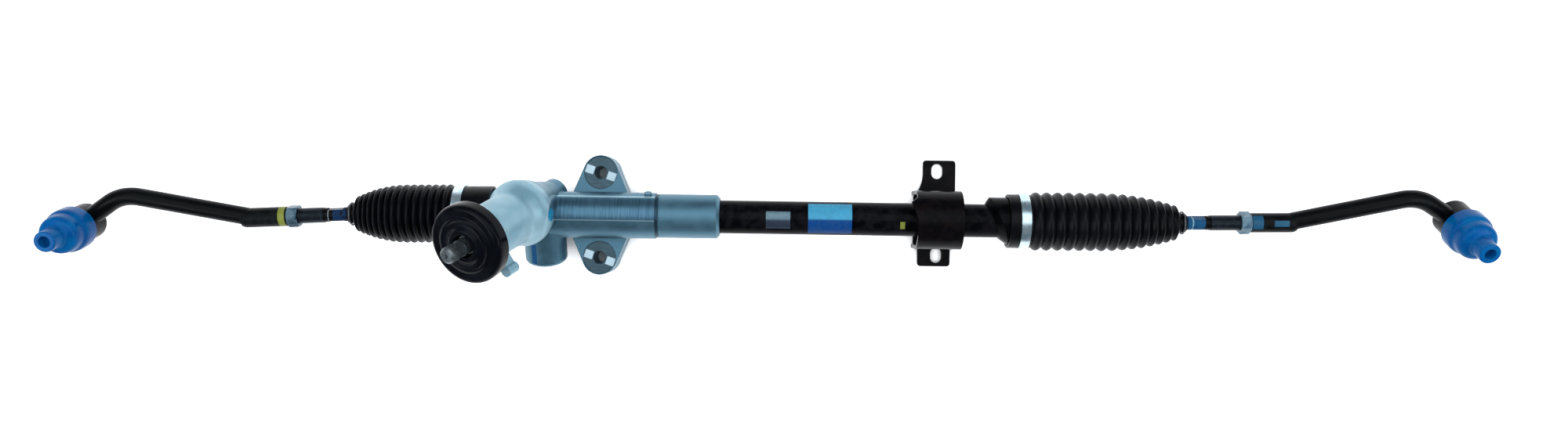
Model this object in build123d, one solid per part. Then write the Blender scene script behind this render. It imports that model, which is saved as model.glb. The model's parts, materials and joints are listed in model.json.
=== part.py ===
from build123d import *

import os
from math import acos, atan, cos, degrees, pi, radians, sin, sqrt, tan

# Steering rack of a small car. Lengths are in millimetres and angles in degrees.
# The origin is midway between the two bolt holes of the pinion housing, on the face that bolts to the car.
# +X runs along the rack to the right, +Y forwards and +Z up, away from the mounting face.

# Fits and clearances
running_fit = 0.05
seat_fit = 0.02
swivel_fit = 0.1
soft_clearance = 0.3
stop_gap = 0.5
cut_overrun = 2.0

# Rack bar, and how far right of its middle position it stands
rack_height = 40.0
rack_radius = 12.0
rack_travel = 136.0
rack_shift = 24.0
left_ball_reach = 134.5
inner_ball_span = 696.0
socket_reach = 22.0
stop_cup_depth = 15.5
rack_bore_gap = 2.8

# Rack teeth and pinion
pinion_teeth = 7
normal_module = 2.0
pressure_angle = 20.0
shaft_lean = 22.8
mesh_tilt = 22.0
mesh_x = -52.5
tooth_shift_share = 0.5
tooth_top_share = 1.25
tooth_foot_share = 1.2
rack_foot_share = 1.25
tooth_backlash = 0.12
rack_tip_height = 8.2
tooth_run_margin = 20.0
gear_length = 24.0
flank_steps = 4

# Pinion shaft, stations measured along it from the mesh point
shaft_radius = 8.5
shaft_neck_length = 3.0
lower_journal_radius = 5.5
lower_journal_end = 20.0
input_start = 118.0
input_radius = 7.25
input_length = 28.0
input_centre_radius = 1.6
input_groove_radius = 6.4
input_groove_width = 6.0

# Pinion bearings, seal and cover
bearing_start = 24.0
bearing_width = 14.0
bearing_radius = 23.5
bearing_pitch_radius = 16.0
bearing_ball_radius = 4.35
bearing_ball_count = 7
bearing_ring_share = 0.5
retainer_radius = 25.5
retainer_length = 5.0
lower_bearing_radius = 9.0
lower_bearing_length = 7.0
end_cap_radius = 10.5
end_cap_thickness = 2.0
seal_radius = 16.0
seal_start = 99.0
seal_length = 7.0
snap_ring_thickness = 1.5
snap_ring_width = 3.0
cover_radius = 35.5
cover_start = 105.0
cover_height = 15.0
cover_wall = 3.2
cover_lip_radius = 15.0
cover_ridge_radius = 24.0
cover_ridge_height = 1.6
cover_ridge_width = 3.2
cover_edge_round = 6.5
cover_mouth_radius = 10.5

# Pinion housing: barrel, tower, yoke boss and bolt lugs
spigot_length = 26.0
spigot_radius = 23.0
barrel_radius = 22.0
nose_x = 55.0
nose_end_x = 116.0
nose_radius = 21.0
nose_chamfer = 3.0
pad_start_x = -39.0
pad_rise = 1.3
pad_low_y = -5.0
pad_high_y = 18.0
socket_gap = 1.25
tower_foot_radius = 14.0
tower_foot_s = -23.0
tower_waist_radius = 21.5
tower_seat_wall = 4.0
shoulder_radius = 31.5
shoulder_start = 34.0
shoulder_end = 54.0
shoulder_slope = 12.0
shoulder_round = 12.0
neck_radius = 25.0
neck_end = 112.0
neck_bore_radius = 13.0
gear_bore_gap = 1.1
ear_reach = 38.5
ear_radius = 5.0
ear_turn = 213.0
ear_end = 94.0
ear_length = 14.0
yoke_boss_radius = 20.0
yoke_boss_reach = 48.0
yoke_boss_round = 4.5
lug_spacing = 82.0
lug_radius = 16.6
lug_height = 31.0
lug_rim = 1.6
lug_spot_radius = 15.8
lug_hole_radius = 6.0
lug_base_width = 52.0
lug_web_foot = 4.0
pin_boss_x = 48.0
pin_boss_radius = 3.6
pin_boss_rise = 2.6
pin_boss_angle = 28.0

# Yoke that presses the rack against the pinion
yoke_radius = 15.0
yoke_length = 22.0
yoke_start = 8.0
liner_thickness = 1.0
spring_height = 5.0
spring_thickness = 1.6
plug_thickness = 12.0
plug_dome = 2.0
plug_hex_radius = 6.0
o_ring_radius = 1.3

# Rack tube and its end collar
tube_radius = 15.9
tube_wall = 2.6
tube_start_x = 60.0
tube_seat_depth = 6.5
bush_length = 36.0
bush_wall = 1.2
collar_length = 34.0
collar_radius = 22.6
collar_tilt = 21.0
collar_land = 1.2
collar_cuff_length = 20.0

# Bracket and bush on the tube
bracket_inset = 63.5
bracket_width = 43.0
bracket_tab_width = 32.0
bracket_thickness = 3.5
bracket_radius = 28.0
bracket_front_reach = 58.6
bracket_back_reach = 45.9
bracket_front_shift = 5.0
bracket_back_shift = 0.6
bracket_slot_shift = 2.8
bracket_slot_inset = 10.8
bracket_slot_radius = 5.5
bracket_slot_length = 15.0
bracket_tab_round = 3.0
bracket_flare_width = 6.0
bracket_flare_low = 17.0
bracket_flare_high = 45.0
bush_gap = 0.3
bush_inset = 1.5

# Bellows
boot_wall = 1.3
boot_folds = 15
boot_crest_radius = 28.0
boot_small_crest_radius = 14.5
boot_fold_depth = 3.4
boot_small_fold_share = 0.5
boot_full_fold_share = 0.55
boot_short_pitch_share = 0.65
boot_collar_overlap = 2.0
boot_mouth_gap = 0.6
boot_collar_wall = 2.6
boot_neck_length = 9.0
boot_neck_wall = 2.0
boot_neck_u = 44.0
band_width = 9.0
band_thickness = 0.9
band_inset = 3.0
band_ear_height = 4.5
band_ear_width = 8.0
clip_radius = 1.0

# Tie rods, distances measured outwards from the inner ball
inner_ball_radius = 13.0
seat_thickness = 1.3
socket_wall = 3.1
socket_lip = 9.0
socket_mouth = 11.5
seat_lip = 7.5
socket_nose_radius = 14.0
socket_nose_length = 11.0
washer_thickness = 2.0
shank_radius = 6.8
shank_neck_radius = 5.5
shank_neck_end = 17.0
shank_groove_radius = 6.2
flats_start = 56.0
flats_end = 71.0
flats_width = 11.0
thread_radius = 7.0
thread_end_inset = 12.0
nut_across_flats = 19.0
nut_thickness = 10.0
left_nut_u = 99.0
right_nut_u = 103.0
sleeve_radius = 9.4
sleeve_length = 44.0
arm_radius = 8.5
arm_start_inset = 10.0
arm_peak_share = 0.78
arm_peak_v = 28.0
arm_bend_radius = 38.0
outer_ball_u = 199.0
left_swing = -3.0
right_swing = 1.0
left_roll = 15.0
right_roll = 28.0

# Outer ball joints, heights measured along the stud from the ball's centre
outer_ball_radius = 11.0
cup_radius = 17.5
cup_low = -14.0
cup_top = 12.0
cup_edge = 2.2
cup_seat_radius = 13.6
cup_mouth_radius = 9.4
ball_plate_thickness = 2.6
ball_plate_radius = 14.6
stud_neck_radius = 6.0
stud_flange_radius = 7.6
stud_taper_start = 24.0
stud_taper_end = 38.0
stud_thread_radius = 5.9
stud_length = 49.0
dust_boot_radius = 17.2
dust_boot_wall = 1.4
ring_wire = 1.2

# Transport caps over the studs
cap_start = 12.5
cap_skirt_radius = 21.0
cap_skirt_height = 17.0
cap_dome_radius = 18.3
cap_dome_height = 15.0
cap_tip_radius = 9.8
cap_tip_height = 17.5
cap_tip_bore = 5.2
cap_tip_depth = 9.0
cap_wall = 1.4
cap_skirt_round = 4.3
cap_dome_round = 6.7
cap_root_round = 1.6

# Worked out from the sizes above
left_ball_x = mesh_x - left_ball_reach
right_ball_x = left_ball_x + inner_ball_span
travel_left = rack_travel / 2 + rack_shift
travel_right = rack_travel / 2 - rack_shift
seat_radius = inner_ball_radius + swivel_fit + seat_thickness
socket_cavity_radius = seat_radius + soft_clearance
socket_radius = socket_cavity_radius + socket_wall
counterbore_radius = socket_radius + socket_gap
left_stop_x = left_ball_x + socket_reach + travel_right + stop_gap
right_stop_x = right_ball_x - socket_reach - travel_left - stop_gap
spigot_x = left_stop_x - stop_cup_depth
tube_end_x = right_stop_x - tube_seat_depth
collar_end_x = right_stop_x + stop_cup_depth
bracket_x = tube_end_x - bracket_inset
rack_bore_radius = rack_radius + rack_bore_gap
tube_bore_radius = tube_radius - tube_wall
rod_thread_length = sleeve_length - thread_end_inset

lean = radians(shaft_lean)
pitch_radius = pinion_teeth * normal_module / (2 * cos(lean))
transverse_angle = atan(tan(radians(pressure_angle)) / cos(lean))
base_radius = pitch_radius * cos(transverse_angle)
rack_line_distance = pitch_radius + tooth_shift_share * normal_module
tip_radius = pitch_radius + tooth_top_share * normal_module
root_radius = rack_line_distance - tooth_foot_share * normal_module
rack_line_height = rack_tip_height - normal_module
rack_root_height = rack_line_height - rack_foot_share * normal_module
mesh_offset = rack_line_height + rack_line_distance
tooth_pitch = pi * normal_module
gear_bore_radius = tip_radius + gear_bore_gap

# Directions: mesh_up points from the rack to the pinion, shaft_out along the pinion to its input end
mesh_up = Vector(0, cos(radians(mesh_tilt)), sin(radians(mesh_tilt)))
tooth_line = Vector(0, -sin(radians(mesh_tilt)), cos(radians(mesh_tilt)))
shaft_out = tooth_line * cos(lean) - Vector(1, 0, 0) * sin(lean)
mesh_point = Vector(mesh_x, 0, rack_height)

rack_frame = Plane(origin=(0, 0, rack_height), x_dir=(0, 1, 0), z_dir=(1, 0, 0))
pinion_frame = Plane(origin=mesh_point + mesh_up * mesh_offset, x_dir=mesh_up, z_dir=shaft_out)
yoke_frame = Plane(origin=mesh_point, x_dir=(1, 0, 0), z_dir=-mesh_up)
teeth_frame = Plane(origin=mesh_point, x_dir=(1, 0, 0), z_dir=tooth_line)
along_bar = (Align.CENTER, Align.CENTER, Align.MIN)


def bar(frame, low, high, radius):
    """A round bar along the frame's z axis."""
    return frame * Pos(0, 0, low) * Cylinder(radius, high - low, align=along_bar)


def ring(frame, low, high, outer, inner):
    """A plain ring about the frame's z axis."""
    return turned(frame, (low, inner), (low, outer), (high, outer), (high, inner))


def turned(frame, *profile):
    """A turned solid about the frame's z axis, from corners given as (distance along the axis, radius).
    A third number rounds that corner."""
    outline = make_face(Polyline(*[(corner[1], corner[0]) for corner in profile], close=True))
    for corner in profile:
        if len(corner) == 3:
            place = Vector(corner[1], corner[0], 0)
            outline = fillet(outline.vertices().sort_by_distance(place)[0], corner[2])
    return frame * revolve(Plane.XZ * outline, Axis.Z)


def mirrored_if_left(shape, side):
    """A part laid out to the right, mirrored where it belongs to the left side."""
    return mirror(shape, Plane.YZ) if side == "left" else shape


# Pinion and its parts

def involute(angle):
    return tan(angle) - angle


def pinion_gear():
    """The helical teeth, with one tooth pointing at the rack at the mesh point."""
    thickness = normal_module / cos(lean) * pi / 2
    thickness += 2 * tooth_shift_share * normal_module * tan(transverse_angle) - tooth_backlash
    pitch_half = thickness / (2 * pitch_radius)
    flank = [(root_radius, pitch_half + involute(transverse_angle))]
    for step in range(flank_steps + 1):
        radius = base_radius + (tip_radius - base_radius) * step / flank_steps
        roll = acos(min(1.0, base_radius / radius))
        flank.append((radius, pitch_half + involute(transverse_angle) - involute(roll)))
    twist_rate = tan(lean) / pitch_radius
    start_turn = pi - twist_rate * gear_length / 2
    corners = []
    for tooth in range(pinion_teeth):
        middle = start_turn + 2 * pi * tooth / pinion_teeth
        rising = [(radius, middle - half) for radius, half in flank]
        falling = [(radius, middle + half) for radius, half in reversed(flank)]
        corners += [(radius * cos(turn), radius * sin(turn)) for radius, turn in rising + falling]
    section = make_face(Polyline(*corners, close=True)).face()
    teeth = Solid.extrude_linear_with_rotation(
        section, (0, 0, 0), (0, 0, gear_length), degrees(twist_rate * gear_length)
    )
    return pinion_frame * Pos(0, 0, -gear_length / 2) * teeth


def pinion_shaft():
    half = gear_length / 2
    input_end = input_start + input_length
    groove_middle = input_start + input_length / 2
    groove_start = groove_middle - input_groove_width / 2
    groove_end = groove_middle + input_groove_width / 2
    body = turned(
        pinion_frame,
        (-lower_journal_end, 0),
        (-lower_journal_end, lower_journal_radius),
        (-half, lower_journal_radius),
        (-half, root_radius),
        (half + shaft_neck_length, root_radius),
        (half + shaft_neck_length, shaft_radius),
        (input_start, shaft_radius),
        (input_start, input_radius),
        (groove_start, input_radius),
        (groove_start, input_groove_radius),
        (groove_end, input_groove_radius),
        (groove_end, input_radius),
        (input_end - input_centre_radius, input_radius),
        (input_end, input_radius - input_centre_radius),
        (input_end, input_centre_radius),
        (input_end - 2 * input_centre_radius, 0),
    )
    return body + pinion_gear()


def bearing_races():
    """Inner ring, outer ring and the balls between them, with a groove in each ring."""
    half_gap = bearing_ball_radius * bearing_ring_share
    end = bearing_start + bearing_width
    middle = bearing_start + bearing_width / 2
    groove = pinion_frame * Pos(0, 0, middle) * Torus(bearing_pitch_radius, bearing_ball_radius + running_fit)
    inner = ring(
        pinion_frame, bearing_start, end, bearing_pitch_radius - half_gap, shaft_radius + seat_fit
    )
    outer = ring(pinion_frame, bearing_start, end, bearing_radius, bearing_pitch_radius + half_gap)
    ball = Sphere(bearing_ball_radius)
    places = PolarLocations(bearing_pitch_radius, bearing_ball_count)
    balls = pinion_frame * Pos(0, 0, middle) * Compound([place * ball for place in places])
    return inner - groove, outer - groove, balls


def bearing_retainer():
    start = bearing_start + bearing_width
    return ring(
        pinion_frame,
        start + seat_fit,
        start + retainer_length,
        retainer_radius,
        bearing_pitch_radius,
    )


def pinion_lower_bearing():
    half = gear_length / 2
    middle = (half + lower_journal_end) / 2
    return ring(
        pinion_frame,
        -middle - lower_bearing_length / 2,
        -middle + lower_bearing_length / 2,
        lower_bearing_radius,
        lower_journal_radius + running_fit,
    )


def pinion_end_cap():
    rim = end_cap_thickness / 2
    return turned(
        pinion_frame,
        (tower_foot_s, 0),
        (tower_foot_s, end_cap_radius - rim),
        (tower_foot_s + rim, end_cap_radius),
        (tower_foot_s + end_cap_thickness, end_cap_radius),
        (tower_foot_s + end_cap_thickness, 0),
    )


def pinion_oil_seal():
    return turned(
        pinion_frame,
        (seal_start, shaft_radius + running_fit),
        (seal_start, seal_radius),
        (seal_start + seal_length, seal_radius),
        (seal_start + seal_length, shaft_radius + seal_length / 2),
        (seal_start + seal_length / 2, shaft_radius + running_fit),
    )


def snap_ring():
    """The open ring that holds the seal."""
    start = seal_start + seal_length + seat_fit
    end = start + snap_ring_thickness
    whole = ring(pinion_frame, start, end, seal_radius, seal_radius - snap_ring_width)
    gap = pinion_frame * Pos(seal_radius, 0, start) * Box(
        seal_radius, snap_ring_width, snap_ring_thickness * 2 + cut_overrun
    )
    return whole - gap


def dust_cover():
    """The rubber cover over the top of the tower: a hub that grips it, a skirt and a ridged face."""
    top = cover_start + cover_height
    face = top - cover_wall
    ridge_half = cover_ridge_width / 2
    return turned(
        pinion_frame,
        (neck_end + seat_fit, cover_mouth_radius),
        (top + cover_ridge_height, cover_mouth_radius),
        (top + cover_ridge_height, cover_lip_radius),
        (top - cover_ridge_height, cover_lip_radius + 2 * ridge_half),
        (top - cover_ridge_height, cover_ridge_radius - ridge_half),
        (top, cover_ridge_radius),
        (top - cover_ridge_height, cover_ridge_radius + ridge_half),
        (top - cover_ridge_height, cover_radius, cover_edge_round),
        (cover_start, cover_radius),
        (cover_start, cover_radius - cover_wall),
        (face - cover_edge_round, cover_radius - cover_wall),
        (neck_end - cover_wall, neck_radius + cover_wall + seat_fit),
        (cover_start, neck_radius + cover_wall + seat_fit),
        (cover_start, neck_radius + seat_fit),
        (neck_end + seat_fit, neck_radius + seat_fit),
    )


# Pinion housing

def housing_barrel():
    """The outside of the casting along the rack, with the raised machined pad."""
    spigot_end = spigot_x + spigot_length
    body = turned(
        rack_frame,
        (spigot_x, 0),
        (spigot_x, spigot_radius - nose_chamfer / 2),
        (spigot_x + nose_chamfer / 2, spigot_radius),
        (spigot_end, spigot_radius),
        (spigot_end + nose_chamfer, barrel_radius),
        (nose_x, barrel_radius),
        (nose_x, nose_radius),
        (nose_end_x - nose_chamfer, nose_radius),
        (nose_end_x, nose_radius - nose_chamfer),
        (nose_end_x, 0),
    )
    pad = bar(rack_frame, pad_start_x, nose_x + nose_chamfer, barrel_radius + pad_rise)
    pad_length = nose_x + nose_chamfer - pad_start_x
    window = Pos(pad_start_x, pad_low_y, rack_height) * Box(
        pad_length,
        pad_high_y - pad_low_y,
        barrel_radius + pad_rise + cut_overrun,
        align=(Align.MIN, Align.MIN, Align.MIN),
    )
    return body + (pad & window)


def housing_lug(direction):
    """One bolt lug: a boss with a flared web to the barrel and a machined spot face."""
    far = lug_spacing / 2
    half_base = lug_base_width / 2
    base_distance = sqrt(half_base**2 + (far - barrel_radius) ** 2)
    touch = acos(lug_radius / base_distance) - acos(half_base / base_distance)
    touch_x = lug_radius * cos(touch)
    touch_y = far + lug_radius * sin(touch)
    outline = make_face(
        [
            ThreePointArc((-touch_x, touch_y), (0, far + lug_radius), (touch_x, touch_y)),
            Line((touch_x, touch_y), (half_base, barrel_radius)),
            Line((half_base, barrel_radius), (half_base, 0)),
            Line((half_base, 0), (-half_base, 0)),
            Line((-half_base, 0), (-half_base, barrel_radius)),
            Line((-half_base, barrel_radius), (-touch_x, touch_y)),
        ]
    )
    if direction < 0:
        outline = mirror(outline, Plane.XZ)
    web = Pos(0, 0, lug_web_foot) * extrude(outline, lug_height + lug_rim - lug_web_foot)
    centre = Plane(origin=(0, direction * far, 0))
    boss = bar(centre, 0, lug_height, lug_radius)
    top = lug_height + lug_rim + cut_overrun
    return web + boss - bar(centre, lug_height, top, lug_spot_radius)


def lug_holes():
    frames = [Plane(origin=(0, side * lug_spacing / 2, 0)) for side in (-1, 1)]
    return [bar(frame, -cut_overrun, lug_height + cut_overrun, lug_hole_radius) for frame in frames]


def housing_tower():
    """The outside of the casting round the pinion, from its foot to the neck under the dust cover."""
    half = gear_length / 2
    return turned(
        pinion_frame,
        (tower_foot_s, 0),
        (tower_foot_s, tower_foot_radius - nose_chamfer / 2),
        (tower_foot_s + nose_chamfer / 2, tower_foot_radius),
        (-half, tower_foot_radius),
        (half - shaft_neck_length, tower_waist_radius),
        (bearing_start - tower_seat_wall / 2, bearing_radius + tower_seat_wall),
        (shoulder_start, shoulder_radius, shoulder_round),
        (shoulder_end - shoulder_slope, shoulder_radius, shoulder_round),
        (shoulder_end, neck_radius, shoulder_round),
        (neck_end, neck_radius),
        (neck_end, 0),
    )


def tower_ear():
    """The small boss beside the neck, below the dust cover, with its rib."""
    place = pinion_frame * Rot(0, 0, ear_turn) * Pos(0, 0, ear_end - ear_length)
    boss = place * Pos(ear_reach, 0, 0) * Cylinder(ear_radius, ear_length, align=along_bar)
    rib = place * Pos(neck_radius / 2, 0, 0) * Box(
        ear_reach - neck_radius / 2,
        ear_radius,
        ear_length,
        align=(Align.MIN, Align.CENTER, Align.MIN),
    )
    return boss + rib


def pinion_housing():
    bearing_end = bearing_start + bearing_width
    yoke_boss = turned(
        yoke_frame,
        (0, 0),
        (0, yoke_boss_radius),
        (yoke_boss_reach, yoke_boss_radius, yoke_boss_round),
        (yoke_boss_reach, 0),
    )
    tilt = radians(pin_boss_angle)
    pin_frame = Plane(origin=(pin_boss_x, 0, rack_height), z_dir=(0, cos(tilt), sin(tilt)))
    pin_boss = bar(pin_frame, rack_bore_radius, barrel_radius + pin_boss_rise, pin_boss_radius)
    solid = housing_barrel() + housing_tower() + tower_ear() + yoke_boss + pin_boss
    solid += housing_lug(1) + housing_lug(-1)
    lower_bearing_end = -(gear_length / 2 + lower_journal_end) / 2 - lower_bearing_length / 2
    cuts = [
        bar(rack_frame, left_stop_x - cut_overrun, tube_start_x + cut_overrun, rack_bore_radius),
        bar(rack_frame, spigot_x - cut_overrun, left_stop_x, counterbore_radius),
        bar(rack_frame, tube_start_x, nose_end_x + cut_overrun, tube_radius + seat_fit),
        bar(pinion_frame, -gear_length / 2, bearing_start, gear_bore_radius),
        bar(pinion_frame, bearing_start, bearing_end, bearing_radius + seat_fit),
        bar(pinion_frame, bearing_end, bearing_end + retainer_length, retainer_radius + seat_fit),
        bar(pinion_frame, bearing_end, neck_end, neck_bore_radius),
        bar(pinion_frame, seal_start, neck_end + cut_overrun, seal_radius + seat_fit),
        bar(pinion_frame, lower_bearing_end, -gear_length / 2, lower_bearing_radius + seat_fit),
        bar(
            pinion_frame,
            tower_foot_s - cut_overrun,
            tower_foot_s + end_cap_thickness + seat_fit,
            end_cap_radius + seat_fit,
        ),
        bar(pinion_frame, tower_foot_s, lower_bearing_end, lower_journal_radius + running_fit),
        bar(yoke_frame, 0, yoke_boss_reach + cut_overrun, yoke_radius + running_fit),
    ]
    for cut in cuts + lug_holes():
        solid -= cut
    return solid


# Yoke

def yoke_parts():
    """Yoke, its liner on the back of the rack, the spring behind it, the plug and its sealing ring."""
    liner_radius = rack_radius + running_fit + liner_thickness
    yoke_end = yoke_start + yoke_length
    body = bar(yoke_frame, yoke_start, yoke_end, yoke_radius)
    saddle = bar(rack_frame, mesh_x - yoke_boss_radius, mesh_x + yoke_boss_radius, liner_radius + seat_fit)
    shell = ring(
        rack_frame,
        mesh_x - yoke_boss_radius,
        mesh_x + yoke_boss_radius,
        liner_radius,
        rack_radius + running_fit,
    )
    liner = shell & bar(yoke_frame, yoke_start, yoke_end, yoke_radius - liner_thickness)
    spring = turned(
        yoke_frame,
        (yoke_end + seat_fit, yoke_radius / 2),
        (yoke_end + seat_fit + spring_thickness, yoke_radius / 2),
        (yoke_end + spring_height, yoke_radius - liner_thickness),
        (yoke_end + spring_height - spring_thickness, yoke_radius - liner_thickness),
    )
    plug_start = yoke_end + spring_height + seat_fit
    plug_end = plug_start + plug_thickness
    groove_middle = plug_start + 2 * o_ring_radius + seat_fit
    plug = turned(
        yoke_frame,
        (plug_start, 0),
        (plug_start, yoke_radius),
        (groove_middle - o_ring_radius, yoke_radius),
        (groove_middle - o_ring_radius, yoke_radius - 2 * o_ring_radius),
        (groove_middle + o_ring_radius, yoke_radius - 2 * o_ring_radius),
        (groove_middle + o_ring_radius, yoke_radius),
        (plug_end, yoke_radius),
        (plug_end + plug_dome, yoke_radius - 2 * plug_dome),
        (plug_end + plug_dome, 0),
    )
    hexagon = RegularPolygon(plug_hex_radius, 6)
    socket = yoke_frame * Pos(0, 0, plug_end - plug_thickness / 3) * extrude(hexagon, plug_thickness)
    o_ring = yoke_frame * Pos(0, 0, groove_middle) * Torus(
        yoke_radius - o_ring_radius - seat_fit, o_ring_radius - seat_fit
    )
    return body - saddle, liner, spring, plug - socket, o_ring


# Rack tube, collar, bush and bracket

def rack_tube():
    return ring(rack_frame, tube_start_x + seat_fit, tube_end_x, tube_radius, tube_bore_radius)


def rack_bush():
    inner = rack_radius + running_fit
    end = tube_end_x - stop_gap
    return turned(
        rack_frame,
        (end - bush_length, inner),
        (end - bush_length, tube_bore_radius - seat_fit),
        (end, tube_bore_radius - seat_fit),
        (end, inner + bush_wall / 2),
        (end - bush_wall / 2, inner),
    )


def tube_end_collar():
    """The ring on the tube's end: it seats the tube, stops the rack and carries the bellows.
    Its inner end is cut aslant and bevelled down to the tube."""
    middle_x = collar_end_x - collar_length
    blank = bar(rack_frame, middle_x - collar_radius, collar_end_x, collar_radius)
    aslant = Plane(
        origin=(middle_x, 0, rack_height),
        x_dir=(0, 0, 1),
        z_dir=(cos(radians(collar_tilt)), sin(radians(collar_tilt)), 0),
    )
    outer = blank - aslant * Cylinder(
        2 * collar_radius,
        2 * collar_radius,
        align=(Align.CENTER, Align.CENTER, Align.MAX),
    )
    slant_edge = outer.edges().sort_by(Axis.X)[0]
    outer = chamfer(slant_edge, collar_radius - tube_radius - collar_land)
    outer = chamfer(outer.edges().sort_by(Axis.X)[-1], nose_chamfer / 2)
    cuts = [
        bar(rack_frame, middle_x - collar_radius, tube_end_x + seat_fit, tube_radius + seat_fit),
        bar(rack_frame, tube_end_x, collar_end_x, rack_bore_radius),
        bar(rack_frame, right_stop_x, collar_end_x + cut_overrun, counterbore_radius),
    ]
    for cut in cuts:
        outer -= cut
    return outer


def bracket_outline(radius, low):
    """An arch over the tube with straight legs, as seen along the rack."""
    centre = (0, rack_height)
    arch = Pos(*centre) * Circle(radius)
    legs = Pos(0, (rack_height + low) / 2) * Rectangle(2 * radius, rack_height - low)
    return arch + legs


def bracket_plan():
    """The bracket seen from above: the strap, a tab on either side and the flare beside the front tab."""
    plan = Pos(bracket_x, 0) * Rectangle(bracket_width, 2 * bracket_radius)
    for reach, shift, way in (
        (bracket_front_reach, bracket_front_shift, 1),
        (bracket_back_reach, bracket_back_shift, -1),
    ):
        tab = RectangleRounded(bracket_tab_width, reach, bracket_tab_round)
        plan += Pos(bracket_x + shift, way * reach / 2) * tab
    tab_x = bracket_x + bracket_front_shift - bracket_tab_width / 2
    outer_x = bracket_x - bracket_width / 2 - bracket_flare_width
    flare = make_face(
        [
            TangentArc((tab_x, bracket_flare_high), (outer_x, bracket_flare_low), tangent=(0, -1)),
            Line((outer_x, bracket_flare_low), (bracket_x - bracket_width / 2, 0)),
            Line((bracket_x - bracket_width / 2, 0), (bracket_x, 0)),
            Line((bracket_x, 0), (bracket_x, bracket_flare_high)),
            Line((bracket_x, bracket_flare_high), (tab_x, bracket_flare_high)),
        ]
    )
    return plan + flare


def mount_bracket():
    """The strap that clamps the rubber bush, with a slotted foot on either side."""
    inner = bracket_radius - bracket_thickness
    side_view = Plane(origin=(bracket_x, 0, 0), x_dir=(0, 1, 0), z_dir=(1, 0, 0))
    body = extrude(side_view * bracket_outline(bracket_radius, 0), bracket_width, both=True)
    reach = 2 * (bracket_front_reach + bracket_back_reach)
    feet = Pos(bracket_x, 0, bracket_thickness / 2) * Box(2 * bracket_width, reach, bracket_thickness)
    strap = (body + feet) & extrude(bracket_plan(), rack_height + 2 * bracket_radius)
    strap -= extrude(side_view * bracket_outline(inner, -cut_overrun), 2 * bracket_width, both=True)
    slot = SlotOverall(bracket_slot_length, 2 * bracket_slot_radius, rotation=90)
    for hole_y in (bracket_front_reach - bracket_slot_inset, bracket_slot_inset - bracket_back_reach):
        strap -= Pos(bracket_x + bracket_slot_shift, hole_y, -cut_overrun) * extrude(
            slot, bracket_thickness + 2 * cut_overrun
        )
    return strap


def bracket_bush():
    inner = bracket_radius - bracket_thickness - bush_gap
    side_view = Plane(origin=(bracket_x, 0, 0), x_dir=(0, 1, 0), z_dir=(1, 0, 0))
    block = extrude(side_view * bracket_outline(inner, 0), bracket_width / 2 - bush_inset, both=True)
    length = bracket_width
    return block - bar(rack_frame, bracket_x - length, bracket_x + length, tube_radius + seat_fit)


# Bellows, bands and clips

def boot_frame(mouth_x, ball_x, swing):
    """From the mouth on the housing to the neck on the swung tie rod, in the right-hand layout."""
    neck_x = ball_x + boot_neck_u * cos(radians(swing))
    neck_y = boot_neck_u * sin(radians(swing))
    start = Vector(mouth_x, 0, rack_height)
    run = Vector(neck_x, neck_y, rack_height) - start
    return Plane(origin=start, z_dir=run), run.length


def boot_profile(length, cuff, inset):
    """Radii along the bellows from the end of its cuff to the neck, offset inwards by the inset."""
    full_fold = boot_folds * boot_full_fold_share
    pitches = []
    for fold in range(boot_folds):
        grown = min(1.0, (boot_folds - 1 - fold) / full_fold)
        pitches.append(boot_short_pitch_share + (1 - boot_short_pitch_share) * grown)
    scale = (length - cuff) / sum(pitches)
    points = []
    place = cuff
    for fold, pitch in enumerate(pitches):
        grown = sin(min(1.0, (boot_folds - 1 - fold) / full_fold) * pi / 2)
        crest = boot_small_crest_radius + (boot_crest_radius - boot_small_crest_radius) * grown
        depth = boot_fold_depth * (boot_small_fold_share + (1 - boot_small_fold_share) * grown)
        width = pitch * scale
        points.append((place, crest - depth - inset))
        points.append((place + width / 2, crest - inset))
        place += width
    return points


def boot(mouth_x, spigot, cuff, ball_x, swing):
    frame, length = boot_frame(mouth_x, ball_x, swing)
    mouth = spigot + boot_mouth_gap
    collar = mouth + boot_collar_wall
    neck = shank_radius + soft_clearance
    outside = boot_profile(length, cuff, 0)
    inside = boot_profile(length, cuff, boot_wall)
    lip = boot_neck_length - boot_wall
    profile = [(0, mouth), (0, collar), (cuff - boot_wall, collar)]
    profile += outside
    profile += [(length, neck + boot_neck_wall), (length + lip, neck + boot_neck_wall), (length + lip, neck)]
    profile += [(length - boot_wall, neck)]
    profile += reversed(inside)
    profile += [(cuff - boot_wall, mouth)]
    return turned(frame, *profile)


def boot_band(mouth_x, spigot, cuff, ball_x, swing):
    """The metal band round the bellows' mouth, with its folded ear."""
    frame, length = boot_frame(mouth_x, ball_x, swing)
    inner = spigot + boot_mouth_gap + boot_collar_wall + seat_fit
    start = cuff - band_width - band_inset
    body = ring(frame, start, start + band_width, inner + band_thickness, inner)
    ear = frame * Pos(0, -inner, start + band_width / 2) * Box(
        band_ear_height / 2,
        band_ear_height + band_thickness,
        band_ear_width,
        align=(Align.CENTER, Align.MAX, Align.CENTER),
    )
    return body + ear


def boot_clip(rod_frame):
    """The spring wire round the bellows' neck."""
    middle = boot_neck_u + boot_neck_length / 2
    radius = shank_radius + 2 * soft_clearance + boot_neck_wall + clip_radius
    along = Plane(origin=rod_frame.origin, x_dir=rod_frame.z_dir, z_dir=rod_frame.x_dir)
    return along * Pos(0, 0, middle) * Torus(radius, clip_radius)


# Rack bar, inner sockets and tie rods

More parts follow.
